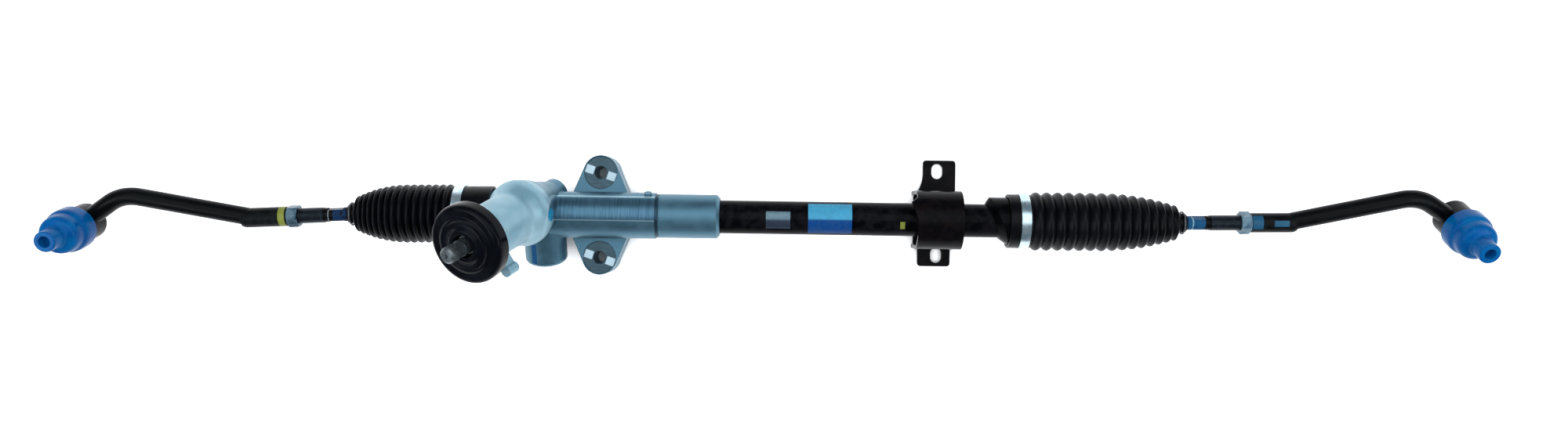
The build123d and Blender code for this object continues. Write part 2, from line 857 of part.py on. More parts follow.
def rack_bar():
    """The bar with its teeth, cut straight across where they meet the pinion."""
    washer_left = left_ball_x + socket_reach + washer_thickness
    washer_right = right_ball_x - socket_reach - washer_thickness
    blank = bar(rack_frame, washer_left + seat_fit, washer_right - seat_fit, rack_radius)
    for end, out in ((washer_left, -1), (washer_right, 1)):
        low, high = sorted((end + out * cut_overrun, end - out * socket_reach))
        blank -= bar(rack_frame, low, high, thread_radius + seat_fit)
    first = -travel_right - tooth_run_margin
    last = travel_left + tooth_run_margin
    slope = tan(radians(pressure_angle))
    half_foot = tooth_pitch / 4 - slope * (rack_line_height - rack_root_height)
    half_mouth = tooth_pitch / 4 + slope * (rack_tip_height - rack_line_height)
    above = rack_radius + cut_overrun
    corners = []
    for space in range(round(first / tooth_pitch), round(last / tooth_pitch) + 1):
        middle = space * tooth_pitch
        corners += [
            (middle - half_mouth, rack_tip_height),
            (middle - half_foot, rack_root_height),
            (middle + half_foot, rack_root_height),
            (middle + half_mouth, rack_tip_height),
        ]
    low_end = corners[0][0] - tooth_pitch / 2
    high_end = corners[-1][0] + tooth_pitch / 2
    corners = [(low_end, above), (low_end, rack_tip_height)] + corners
    corners += [(high_end, rack_tip_height), (high_end, above)]
    spaces = teeth_frame * make_face(Polyline(*corners, close=True))
    return blank - extrude(spaces, rack_radius + cut_overrun, both=True)


def inner_socket(frame):
    """The ball's housing, screwed into the end of the rack. Distances are outwards from the ball's centre."""
    inner_end = -socket_reach
    body = turned(
        frame,
        (inner_end - socket_reach + stop_gap, 0),
        (inner_end - socket_reach + stop_gap, thread_radius),
        (inner_end, thread_radius),
        (inner_end, socket_radius - nose_chamfer / 2),
        (inner_end + nose_chamfer / 2, socket_radius),
        (socket_mouth - socket_nose_length, socket_radius),
        (socket_mouth, socket_nose_radius),
        (socket_mouth, 0),
    )
    lip_radius = sqrt(socket_cavity_radius**2 - socket_lip**2)
    mouth = turned(
        frame,
        (0, 0),
        (0, lip_radius),
        (socket_lip, lip_radius),
        (socket_mouth, socket_nose_radius - soft_clearance),
        (socket_mouth + cut_overrun, socket_nose_radius - soft_clearance),
        (socket_mouth + cut_overrun, 0),
    )
    return body - frame * Sphere(socket_cavity_radius) - mouth


def inner_seat(frame):
    """The plastic cup round the ball."""
    shell = frame * (Sphere(seat_radius) - Sphere(inner_ball_radius + swivel_fit))
    return shell - bar(frame, seat_lip, seat_radius + cut_overrun, seat_radius)


def lock_washer(frame):
    return ring(
        frame,
        -socket_reach - washer_thickness,
        -socket_reach - seat_fit,
        rack_radius + washer_thickness,
        thread_radius + seat_fit,
    )


def tie_rod(frame, nut_u):
    """Ball, shank with its bellows groove and spanner flats, and the threaded end."""
    end = nut_u + nut_thickness + rod_thread_length
    groove_end = boot_neck_u + boot_neck_length
    body = turned(
        frame,
        (0, 0),
        (0, shank_neck_radius),
        (shank_neck_end, shank_neck_radius),
        (shank_neck_end + shank_radius, shank_radius),
        (boot_neck_u, shank_radius),
        (boot_neck_u, shank_groove_radius),
        (groove_end, shank_groove_radius),
        (groove_end, shank_radius),
        (flats_end + shank_radius - thread_radius + nose_chamfer, shank_radius),
        (flats_end + nose_chamfer, thread_radius),
        (end - nose_chamfer / 2, thread_radius),
        (end, thread_radius - nose_chamfer / 2),
        (end, 0),
    )
    side = Box(
        flats_width,
        flats_width,
        flats_end - flats_start,
        align=(Align.CENTER, Align.MIN, Align.MIN),
    )
    for turn in (0, 180):
        body -= frame * Rot(0, 0, turn) * Pos(0, flats_width / 2, flats_start) * side
    return body + frame * Sphere(inner_ball_radius)


def jam_nut(frame, nut_u):
    hexagon = RegularPolygon(nut_across_flats / 2, 6, major_radius=False)
    corner_radius = nut_across_flats / sqrt(3)
    bevel = corner_radius - nut_across_flats / 2
    blank = frame * Pos(0, 0, nut_u) * extrude(hexagon, nut_thickness)
    envelope = turned(
        frame,
        (nut_u, thread_radius + seat_fit),
        (nut_u, nut_across_flats / 2),
        (nut_u + bevel / 2, corner_radius),
        (nut_u + nut_thickness - bevel / 2, corner_radius),
        (nut_u + nut_thickness, nut_across_flats / 2),
        (nut_u + nut_thickness, thread_radius + seat_fit),
    )
    return blank & envelope


def tie_rod_end(frame, rod_frame, cup_frame, nut_u):
    """Threaded sleeve, bent arm and the cup of the outer ball joint, forged in one piece."""
    start = nut_u + nut_thickness + seat_fit
    sleeve_end = start + sleeve_length
    sleeve = turned(
        rod_frame,
        (start, 0),
        (start, sleeve_radius),
        (sleeve_end - nose_chamfer, sleeve_radius),
        (sleeve_end, arm_radius),
        (sleeve_end, 0),
    )
    path = FilletPolyline(
        (sleeve_end - arm_start_inset, 0),
        (start + arm_peak_share * outer_ball_u, arm_peak_v),
        (start + outer_ball_u, 0),
        radius=arm_bend_radius,
    )
    section = Plane(origin=path @ 0, z_dir=path % 0) * Circle(arm_radius)
    arm = frame * sweep(section, path)
    cup = turned(
        cup_frame,
        (cup_low, 0),
        (cup_low, cup_radius - cup_edge),
        (cup_low + cup_edge, cup_radius),
        (cup_top - 2 * cup_edge, cup_radius),
        (cup_top, cup_radius - cup_edge),
        (cup_top, 0),
    )
    plate_top = cup_low + ball_plate_thickness
    thread_end = nut_u + nut_thickness + rod_thread_length
    cuts = [
        bar(rod_frame, start - cut_overrun, thread_end + seat_fit, thread_radius + seat_fit),
        bar(cup_frame, cup_low - cut_overrun, plate_top + seat_fit, ball_plate_radius + seat_fit),
        bar(cup_frame, plate_top, cup_top - cup_edge, cup_seat_radius + seat_fit),
        bar(cup_frame, 0, cup_top + cut_overrun, cup_mouth_radius),
    ]
    solid = sleeve + arm + cup
    for cut in cuts:
        solid -= cut
    return solid


def ball_seat(cup_frame):
    low = cup_low + ball_plate_thickness + 2 * seat_fit
    high = cup_top - cup_edge - seat_fit
    body = bar(cup_frame, low, high, cup_seat_radius)
    body -= cup_frame * Sphere(outer_ball_radius + swivel_fit)
    return body - bar(cup_frame, 0, high + cut_overrun, stud_neck_radius + soft_clearance)


def ball_plate(cup_frame):
    return bar(cup_frame, cup_low, cup_low + ball_plate_thickness, ball_plate_radius)


def ball_stud(cup_frame):
    """Ball, neck, taper and threaded end."""
    taper = turned(
        cup_frame,
        (0, 0),
        (0, stud_neck_radius),
        (cup_top + cup_edge, stud_neck_radius),
        (cup_top + 2 * cup_edge, stud_flange_radius),
        (stud_taper_start, stud_flange_radius),
        (stud_taper_end, stud_thread_radius),
        (stud_length - nose_chamfer / 2, stud_thread_radius),
        (stud_length, stud_thread_radius - nose_chamfer / 2),
        (stud_length, 0),
    )
    return taper + cup_frame * Sphere(outer_ball_radius)


def dust_boot(cup_frame):
    """The rubber bellows between the cup and the stud's flange."""
    foot = cup_radius - cup_edge
    middle = (cup_top + stud_taper_start) / 2
    lip = stud_flange_radius + soft_clearance
    wall = dust_boot_wall
    low = cup_top + seat_fit
    return turned(
        cup_frame,
        (low, foot - wall),
        (low, foot),
        (low + wall, foot),
        (middle, dust_boot_radius),
        (stud_taper_start - wall, lip + wall),
        (stud_taper_start, lip + wall),
        (stud_taper_start, lip),
        (stud_taper_start - 2 * wall, lip),
        (middle, dust_boot_radius - sqrt(2) * wall),
    )


def dust_boot_ring(cup_frame):
    """The wire that holds the foot of the dust boot."""
    foot = cup_radius - cup_edge + seat_fit
    return ring(cup_frame, cup_top + seat_fit, cup_top + ring_wire, foot + ring_wire, foot)


def stud_cap(cup_frame):
    """The transport cap: a wide skirt, a dome and a tube-like tip with a recessed end."""
    skirt_top = cap_start + cap_skirt_height
    dome_top = skirt_top + cap_dome_height
    tip_top = dome_top + cap_tip_height
    step = cap_skirt_radius - cap_dome_radius
    outer = turned(
        cup_frame,
        (cap_start, 0),
        (cap_start, cap_skirt_radius),
        (skirt_top - step, cap_skirt_radius, cap_skirt_round),
        (skirt_top, cap_dome_radius, cap_root_round),
        (dome_top - step, cap_dome_radius, cap_dome_round),
        (dome_top, cap_tip_radius, cap_root_round),
        (tip_top, cap_tip_radius, cap_wall / 2),
        (tip_top, cap_tip_bore),
        (tip_top - cap_tip_depth, cap_tip_bore),
        (tip_top - cap_tip_depth, 0),
    )
    grip_radius = stud_thread_radius + soft_clearance
    inner = turned(
        cup_frame,
        (cap_start - cut_overrun, 0),
        (cap_start - cut_overrun, cap_skirt_radius - cap_wall),
        (skirt_top - 2 * step, cap_skirt_radius - cap_wall),
        (skirt_top - cap_wall, cap_dome_radius - 2 * cap_wall),
        (dome_top - 3 * step, cap_dome_radius - 2 * cap_wall),
        (dome_top - cap_wall, grip_radius + cap_wall),
        (dome_top - cap_wall, grip_radius),
        (stud_length + soft_clearance, grip_radius),
        (stud_length + soft_clearance, 0),
    )
    return outer - inner


def side_parts(side):
    """Everything outboard of the rack on one side, laid out to the right and mirrored for the left."""
    left = side == "left"
    ball_x = -left_ball_x if left else right_ball_x
    swing = left_swing if left else right_swing
    roll = left_roll if left else right_roll
    nut_u = left_nut_u if left else right_nut_u
    mouth_x = -(spigot_x + spigot_length) if left else collar_end_x - collar_cuff_length
    spigot = spigot_radius if left else collar_radius
    cuff = boot_collar_overlap + (spigot_length if left else collar_cuff_length)
    centre = (ball_x, 0, rack_height)
    out = Vector(cos(radians(swing)), sin(radians(swing)), 0)
    across = Vector(-sin(radians(swing)), cos(radians(swing)), 0)
    stud_out = Vector(0, 0, 1) * cos(radians(roll)) - across * sin(radians(roll))
    flat_frame = Plane(origin=centre, x_dir=out, z_dir=stud_out)
    rod_frame = Plane(origin=centre, x_dir=flat_frame.z_dir, z_dir=flat_frame.x_dir)
    rack_out = Plane(origin=centre, x_dir=(0, 1, 0), z_dir=(1, 0, 0))
    cup_u = nut_u + nut_thickness + outer_ball_u
    cup_frame = flat_frame * Plane(origin=(cup_u, 0, 0))
    return {
        "boot": boot(mouth_x, spigot, cuff, ball_x, swing),
        "boot_band": boot_band(mouth_x, spigot, cuff, ball_x, swing),
        "boot_clip": boot_clip(flat_frame),
        "inner_socket": inner_socket(rack_out),
        "lock_washer": lock_washer(rack_out),
        "inner_seat": inner_seat(rod_frame),
        "tie_rod": tie_rod(rod_frame, nut_u),
        "jam_nut": jam_nut(rod_frame, nut_u),
        "tie_rod_end": tie_rod_end(flat_frame, rod_frame, cup_frame, nut_u),
        "ball_seat": ball_seat(cup_frame),
        "ball_plate": ball_plate(cup_frame),
        "ball_stud": ball_stud(cup_frame),
        "dust_boot": dust_boot(cup_frame),
        "dust_boot_ring": dust_boot_ring(cup_frame),
        "stud_cap": stud_cap(cup_frame),
    }


def all_parts():
    inner_ring, outer_ring, balls = bearing_races()
    yoke, liner, spring, plug, o_ring = yoke_parts()
    parts = {
        "pinion_housing": pinion_housing(),
        "pinion_lower_bearing": pinion_lower_bearing(),
        "bearing_outer_ring": outer_ring,
        "bearing_inner_ring": inner_ring,
        "bearing_balls": balls,
        "bearing_retainer": bearing_retainer(),
        "pinion_end_cap": pinion_end_cap(),
        "pinion_oil_seal": pinion_oil_seal(),
        "snap_ring": snap_ring(),
        "dust_cover": dust_cover(),
        "pinion_shaft": pinion_shaft(),
        "yoke": yoke,
        "yoke_liner": liner,
        "yoke_spring": spring,
        "yoke_plug": plug,
        "yoke_o_ring": o_ring,
        "rack_tube": rack_tube(),
        "rack_bush": rack_bush(),
        "tube_end_collar": tube_end_collar(),
        "mount_bracket": mount_bracket(),
        "bracket_bush": bracket_bush(),
        "rack_bar": rack_bar(),
    }
    for side in ("left", "right"):
        for name, shape in side_parts(side).items():
            parts[f"{side}_{name}"] = mirrored_if_left(shape, side)
    return parts


os.makedirs("parts", exist_ok=True)
for node, shape in all_parts().items():
    export_step(shape, f"parts/{node}.step")
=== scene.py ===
import json
from math import cos, pi, radians, sin

import bmesh
import bpy
from mathutils import Matrix, Vector


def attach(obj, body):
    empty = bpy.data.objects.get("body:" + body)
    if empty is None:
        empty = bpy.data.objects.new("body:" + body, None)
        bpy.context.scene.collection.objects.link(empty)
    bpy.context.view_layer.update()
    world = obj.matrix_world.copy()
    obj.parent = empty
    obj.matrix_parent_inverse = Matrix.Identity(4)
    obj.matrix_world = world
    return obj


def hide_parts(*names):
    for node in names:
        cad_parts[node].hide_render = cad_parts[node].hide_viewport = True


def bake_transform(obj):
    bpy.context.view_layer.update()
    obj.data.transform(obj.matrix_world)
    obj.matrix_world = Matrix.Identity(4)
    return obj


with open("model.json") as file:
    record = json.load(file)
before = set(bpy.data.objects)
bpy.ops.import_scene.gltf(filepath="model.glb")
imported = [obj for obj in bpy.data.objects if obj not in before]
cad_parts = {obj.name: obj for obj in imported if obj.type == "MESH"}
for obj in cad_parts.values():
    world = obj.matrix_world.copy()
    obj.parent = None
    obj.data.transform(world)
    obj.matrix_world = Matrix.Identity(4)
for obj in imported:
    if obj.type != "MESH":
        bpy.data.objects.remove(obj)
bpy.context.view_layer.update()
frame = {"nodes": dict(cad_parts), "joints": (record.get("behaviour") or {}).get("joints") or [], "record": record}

# The steering rack's looks. Lengths are in metres, in the same frame as the CAD model.

# Camera: over the middle of the rack, turned a little, as the photograph was taken
camera_place = (0.177, 0.006, 1.190)
camera_turn = 0.0152
camera_lens = 27.6
camera_sensor = 36

# Floor, sky and lamps
floor_reach = 6.0
floor_middle_x = 0.17
floor_colour = (0.86, 0.86, 0.86)
shadow_distance = 0.03
sky_colour = (0.84, 0.92, 1.0)
sky_strength = 0.30
lamps = (
    # Name, place, target, width, depth, power and colour
    ("overhead softbox", (0.17, 0.45, 1.9), (0.17, 0, 0), 3.4, 1.6, 30, (0.90, 0.95, 1.0)),
    ("left softbox", (-1.3, -0.5, 1.3), (0.0, 0, 0.03), 0.9, 0.7, 10, (0.92, 0.96, 1.0)),
    ("right softbox", (1.6, -0.4, 1.2), (0.3, 0, 0.03), 0.9, 0.7, 9, (0.92, 0.96, 1.0)),
)

# Meshes: points nearer than this are joined, and CAD edges of more degrees than this stay sharp
joined_within = 1e-7
cad_sharp = 30

# Rack, tube, bracket and yoke boss
rack_height = 0.040
tube_radius = 0.0159
mesh_point_x = -0.0525
mesh_tilt = radians(22)
yoke_boss_radius = 0.020
yoke_boss_reach = 0.048
bracket_x = 0.3245

# Pad along the top of the barrel: its rims from and to, which carry a painted highlight, the strip at its right
# end, which carries a painted shade, and the soft border of milled areas
pad_start_x = -0.039
pad_end_x = 0.058
pad_low_y = -0.005
pad_high_y = 0.018
near_rim_highlight = (pad_low_y - 0.0004, pad_low_y + 0.0006)
far_rim_highlight = (pad_high_y - 0.0012, pad_high_y + 0.0004)
left_rim_highlight = (pad_start_x - 0.0006, pad_start_x + 0.0008)
pad_end_shade_span = (pad_end_x - 0.0030, pad_end_x + 0.0002)
machined_border = 0.0004

# Spot faces of the bolt lugs, with the painted highlights (glints) on them
lug_reach = 0.041
lug_spot_radius = 0.0158
lug_face_height = 0.031
lug_face_depth = 0.0006
spot_border = 0.0003
painted_glint_turn = radians(-18)
painted_glint_across = (0.0068, 0.0150)
painted_glint_upright = (-0.0042, 0.0036)

# Tower: where its paler finish fades in along the pinion's axis, and its paint mark
tower_finish_rise = (0.021, 0.028)
tower_mark_place = (-0.0372, 0.0000, 0.0850)
tower_mark_edge = (0.0070, 0.0080)
tower_mark_raggedness = 0.003

# Bellows
fold_count = 15
crest_radius = 0.028
small_crest_radius = 0.0172
crest_roundness = 1.15
fold_depth = 0.0034
fold_steps = 8
small_fold_share = 0.5
full_fold_share = 0.55
short_pitch_share = 0.65
cuff_wall = 0.0026
mouth_gap = 0.0006
bellows_wall = 0.0013
neck_start = 0.044
neck_length = 0.009
neck_wall = 0.002
soft_clearance = 0.0003
bend_start = 0.024
bend_middle = 0.034

# Bush under the bracket: outline, and the channel moulded round the tube in each face
bush_half_width = 0.020
bush_radius = 0.0242
bush_sides = 96
bush_rounding = 0.0009
channel_depth = 0.0018
channel_low = 0.0185
channel_high = 0.0205
channel_slant = 0.0004

# Threads of the tie rods, and how far the jam nuts are from the inner balls
rod_radius = 0.0068
thread_start = 0.0752
thread_pitch = 0.0015
thread_root = 0.00702
thread_crest = 0.00742
thread_flat = 1.4
thread_sides = 40
thread_steps = 5
nut_distances = {"left": 0.099, "right": 0.103}

# Serrations of the pinion's end: rings along the shaft with the share of the tooth's height there
serration_teeth = 36
serration_root = 0.0071
serration_crest = 0.00755
serration_valley_share = 0.15
serration_rings = (
    (0.1185, 0.0), (0.1190, 1.0), (0.1278, 1.0), (0.1284, 0.0),
    (0.1338, 0.0), (0.1344, 1.0), (0.1440, 1.0), (0.1446, 0.0),
)
rings_per_band = 4

# Labels, paint marks and painted reflections
label_thickness = 0.0001
sleeve_radius = 0.0094
ring_mark_start = 0.1108
ring_mark_end = 0.1170

# Painted reflections on the tie rods' spanner flats, with thin painted highlight lines: from and to along the
# rack, and the colour
painted_rod_reflections = (
    (-0.2572, -0.2564, (0.30, 0.34, 0.36)),
    (-0.2525, -0.2370, (0.008, 0.030, 0.085)),
    (0.5560, 0.5785, (0.012, 0.085, 0.190)),
    (0.5660, 0.5672, (0.25, 0.42, 0.50)),
)

joints = {joint["name"]: joint for joint in frame["joints"]}


def joint_place(name):
    """Where a joint is at rest."""
    return Vector(joints[name]["pos_m"])


def joint_axis(name):
    """The direction of a joint's axis."""
    return Vector(joints[name]["axis"])


def along(origin, direction, up=(0, 0, 1)):
    """A frame at the origin whose z runs along the direction and whose x is as near to up as can be."""
    z = Vector(direction).normalized()
    x = (Vector(up) - z * z.dot(Vector(up))).normalized()
    y = z.cross(x)
    return Matrix.Translation(Vector(origin)) @ Matrix((x, y, z)).transposed().to_4x4()


def joint_line(name):
    """The frame of a joint's axis, turned so that its x is as near to the rack's as can be."""
    return along(joint_place(name), joint_axis(name), up=(1, 0, 0))


def rod_line(side):
    """The frame of a tie rod: from its inner ball towards the outer one."""
    ball = joint_place(f"{side}_bump")
    return along(ball, joint_place(f"{side}_stud_swivel") - ball)


# Making meshes

def new_piece(name, points, faces, material, sharp=35):
    """A piece from points and faces: doubled points are joined and every face looks outwards."""
    mesh = bpy.data.meshes.new(name)
    mesh.from_pydata([tuple(point) for point in points], [], faces)
    shape = bmesh.new()
    shape.from_mesh(mesh)
    bmesh.ops.remove_doubles(shape, verts=shape.verts, dist=joined_within)
    bmesh.ops.recalc_face_normals(shape, faces=shape.faces)
    shape.to_mesh(mesh)
    shape.free()
    mesh.validate()
    mesh.shade_smooth()
    mesh.set_sharp_from_angle(angle=radians(sharp))
    mesh.materials.append(material)
    piece = bpy.data.objects.new(name, mesh)
    bpy.context.scene.collection.objects.link(piece)
    return piece


def softened(corners, steps=5):
    """A profile whose corners, given as (distance, radius, round), are rounded off."""
    line = []
    for index, corner in enumerate(corners):
        here = Vector(corner[:2])
        inner = 0 < index < len(corners) - 1
        if len(corner) < 3 or not inner:
            line.append(here)
            continue
        before = Vector(corners[index - 1][:2]) - here
        after = Vector(corners[index + 1][:2]) - here
        back = before.normalized() * min(corner[2], before.length / 2)
        forth = after.normalized() * min(corner[2], after.length / 2)
        for step in range(steps + 1):
            t = step / steps
            line.append(here + back * (1 - t) ** 2 + forth * t**2)
    return line


def turned_point(place, radius, turn, distance):
    """The point at a radius and a turn about the place's z axis, a distance along it."""
    return place @ Vector((radius * cos(turn), radius * sin(turn), distance))


def ring_faces(rings, sides, closed=False):
    """Faces from each ring of points to the next one; closed joins the last ring to the first."""
    faces = []
    for ring in range(rings if closed else rings - 1):
        start = ring * sides
        following = (ring + 1) % rings * sides
        for side in range(sides):
            beside = (side + 1) % sides
            faces.append((start + side, start + beside, following + beside, following + side))
    return faces


def spun(name, place, profile, material, sides=72, closed=False, sharp=35):
    """A turned piece about the place's z axis, from (distance, radius) points."""
    points = []
    for distance, radius in profile:
        for side in range(sides):
            points.append(turned_point(place, radius, 2 * pi * side / sides, distance))
    return new_piece(name, points, ring_faces(len(profile), sides, closed), material, sharp)


def wrapped_patch(name, place, radius, low, high, start, end, material, columns=24, rows=12):
    """A thin patch laid round a cylinder about the place's z axis; start and end are in degrees."""
    points = []
    for layer in (label_thickness, 0.0):
        for row in range(rows + 1):
            for column in range(columns + 1):
                turn = radians(start) + (radians(end) - radians(start)) * column / columns
                distance = low + (high - low) * row / rows
                points.append(turned_point(place, radius + layer, turn, distance))
    width = columns + 1
    under = width * (rows + 1)
    faces = []
    for row in range(rows):
        for column in range(columns):
            corner = row * width + column
            face = (corner, corner + 1, corner + width + 1, corner + width)
            faces += [face, tuple(point + under for point in reversed(face))]
    rim = list(range(width))
    rim += [row * width + columns for row in range(1, rows + 1)]
    rim += [rows * width + column for column in range(columns - 1, -1, -1)]
    rim += [row * width for row in range(rows - 1, 0, -1)]
    for index, corner in enumerate(rim):
        following = rim[(index + 1) % len(rim)]
        faces.append((corner, corner + under, following + under, following))
    return new_piece(name, points, faces, material)


# Effects that several materials share

def new_group(name, inputs, outputs):
    """A shader node group with its sockets and its input and output nodes."""
    group = bpy.data.node_groups.new(name, "ShaderNodeTree")
    for label, kind, value in inputs:
        socket = group.interface.new_socket(label, in_out="INPUT", socket_type=kind)
        socket.default_value = value
    for label, kind in outputs:
        group.interface.new_socket(label, in_out="OUTPUT", socket_type=kind)
    return group, group.nodes.new("NodeGroupInput"), group.nodes.new("NodeGroupOutput")


def link(tree, start, end):
    """Links one node's output to another one's input."""
    tree.links.new(start, end)


def feed(tree, value, socket):
    """Links the socket where the value is a node's output, or else sets the value on it."""
    if isinstance(value, bpy.types.NodeSocket):
        link(tree, value, socket)
    elif socket.type == "RGBA":
        socket.default_value = (*value, 1.0)
    else:
        socket.default_value = value


def maths(tree, operation, *values):
    """A sum, product or other measure of one to three values."""
    node = tree.nodes.new("ShaderNodeMath")
    node.operation = operation
    for socket, value in zip(node.inputs, values):
        feed(tree, value, socket)
    return node.outputs[0]


def vector_maths(tree, operation, first, second):
    """A node that works on two vectors, or scales one by a number."""
    node = tree.nodes.new("ShaderNodeVectorMath")
    node.operation = operation
    feed(tree, first, node.inputs[0])
    feed(tree, second, node.inputs["Scale" if operation == "SCALE" else 1])
    return node


def ranged(tree, value, low, high, start=0.0, end=1.0):
    """The value from low to high, moved to start to end with soft ends."""
    node = tree.nodes.new("ShaderNodeMapRange")
    node.interpolation_type = "SMOOTHSTEP"
    link(tree, value, node.inputs["Value"])
    for label, number in (("From Min", low), ("From Max", high), ("To Min", start), ("To Max", end)):
        feed(tree, number, node.inputs[label])
    return node.outputs["Result"]


def mixed(tree, amount, first, second):
    """A mix of two colours: the first at 0, the second at 1."""
    node = tree.nodes.new("ShaderNodeMix")
    node.data_type = "RGBA"
    for socket, value in ((node.inputs[0], amount), (node.inputs[6], first), (node.inputs[7], second)):
        feed(tree, value, socket)
    return node.outputs[2]


def noise(tree, place, scale, detail=4.0, roughness=0.6):
    """Cloudy noise from 0 to 1 over the places given."""
    node = tree.nodes.new("ShaderNodeTexNoise")
    for label, value in (("Vector", place), ("Detail", detail), ("Roughness", roughness), ("Scale", scale)):
        feed(tree, value, node.inputs[label])
    return node.outputs["Fac"]


def place_of_surface(tree):
    """Where on the piece a point is, in the piece's own frame."""
    return tree.nodes.new("ShaderNodeTexCoord").outputs["Object"]


def surface_axes(tree):
    """The place on the surface as three outputs: x, y and z."""
    parts = tree.nodes.new("ShaderNodeSeparateXYZ")
    link(tree, place_of_surface(tree), parts.inputs[0])
    return parts.outputs


def surface_grain():
    """Fine grain and broad blotches: a colour, a roughness and a height."""
    group, given, made = new_group(
        "surface grain",
        [
            ("Colour", "NodeSocketColor", (0.5, 0.5, 0.5, 1)),
            ("Blotch Colour", "NodeSocketColor", (0.4, 0.4, 0.4, 1)),
            ("Blotch Amount", "NodeSocketFloat", 0.5),
            ("Blotch Scale", "NodeSocketFloat", 40.0),
            ("Grain Scale", "NodeSocketFloat", 1500.0),
            ("Grain Contrast", "NodeSocketFloat", 0.2),
            ("Roughness", "NodeSocketFloat", 0.5),
            ("Roughness Spread", "NodeSocketFloat", 0.2),
        ],
        [
            ("Colour", "NodeSocketColor"),
            ("Roughness", "NodeSocketFloat"),
            ("Height", "NodeSocketFloat"),
        ],
    )
    amounts = given.outputs
    spot = place_of_surface(group)
    blotch = ranged(group, noise(group, spot, amounts["Blotch Scale"]), low=0.35, high=0.7)
    grain = noise(group, spot, amounts["Grain Scale"], detail=2.0)
    share = maths(group, "MULTIPLY", blotch, amounts["Blotch Amount"])
    colour = mixed(group, share, amounts["Colour"], amounts["Blotch Colour"])
    speck = maths(group, "SUBTRACT", grain, 0.5)
    speck = maths(group, "MULTIPLY_ADD", speck, amounts["Grain Contrast"], 1.0)
    speckled = vector_maths(group, "SCALE", colour, speck)
    link(group, speckled.outputs["Vector"], made.inputs["Colour"])
    uneven = maths(group, "SUBTRACT", blotch, 0.5)
    rough = maths(group, "MULTIPLY_ADD", uneven, amounts["Roughness Spread"], amounts["Roughness"])
    link(group, rough, made.inputs["Roughness"])
    link(group, grain, made.inputs["Height"])
    return group


def edge_wear_and_sheen():
    """A mask that is light on outer edges, broken up by noise: wear on most pieces, and a painted highlight along
    the bellows' fold crests.
    """
    group, given, made = new_group(
        "edge wear and sheen",
        [("Amount", "NodeSocketFloat", 0.5), ("Scale", "NodeSocketFloat", 120.0)],
        [("Mask", "NodeSocketFloat")],
    )
    edge = group.nodes.new("ShaderNodeNewGeometry").outputs["Pointiness"]
    sharp = ranged(group, edge, low=0.52, high=0.62)
    cloud = noise(group, place_of_surface(group), given.outputs["Scale"])
    broken = ranged(group, cloud, low=0.4, high=0.6)
    mask = maths(group, "MULTIPLY", sharp, broken)
    link(group, maths(group, "MULTIPLY", mask, given.outputs["Amount"]), made.inputs["Mask"])
    return group


def fine_lines():
    """The height of fine parallel tool marks: noise that is squeezed across them."""
    group, given, made = new_group(
        "fine lines",
        [("Stretch", "NodeSocketVector", (1.0, 20.0, 20.0)), ("Scale", "NodeSocketFloat", 400.0)],
        [("Height", "NodeSocketFloat")],
    )
    spot = vector_maths(group, "MULTIPLY", place_of_surface(group), given.outputs["Stretch"])
    lines = noise(group, spot.outputs["Vector"], given.outputs["Scale"], detail=2.0, roughness=0.5)
    link(group, lines, made.inputs["Height"])
    return group


def within(tree, value, low, high, soft):
    """1 where the value lies from low to high, with soft borders."""
    rising = ranged(tree, value, low - soft, low + soft)
    falling = ranged(tree, value, high - soft, high + soft, start=1.0, end=0.0)
    return maths(tree, "MULTIPLY", rising, falling)


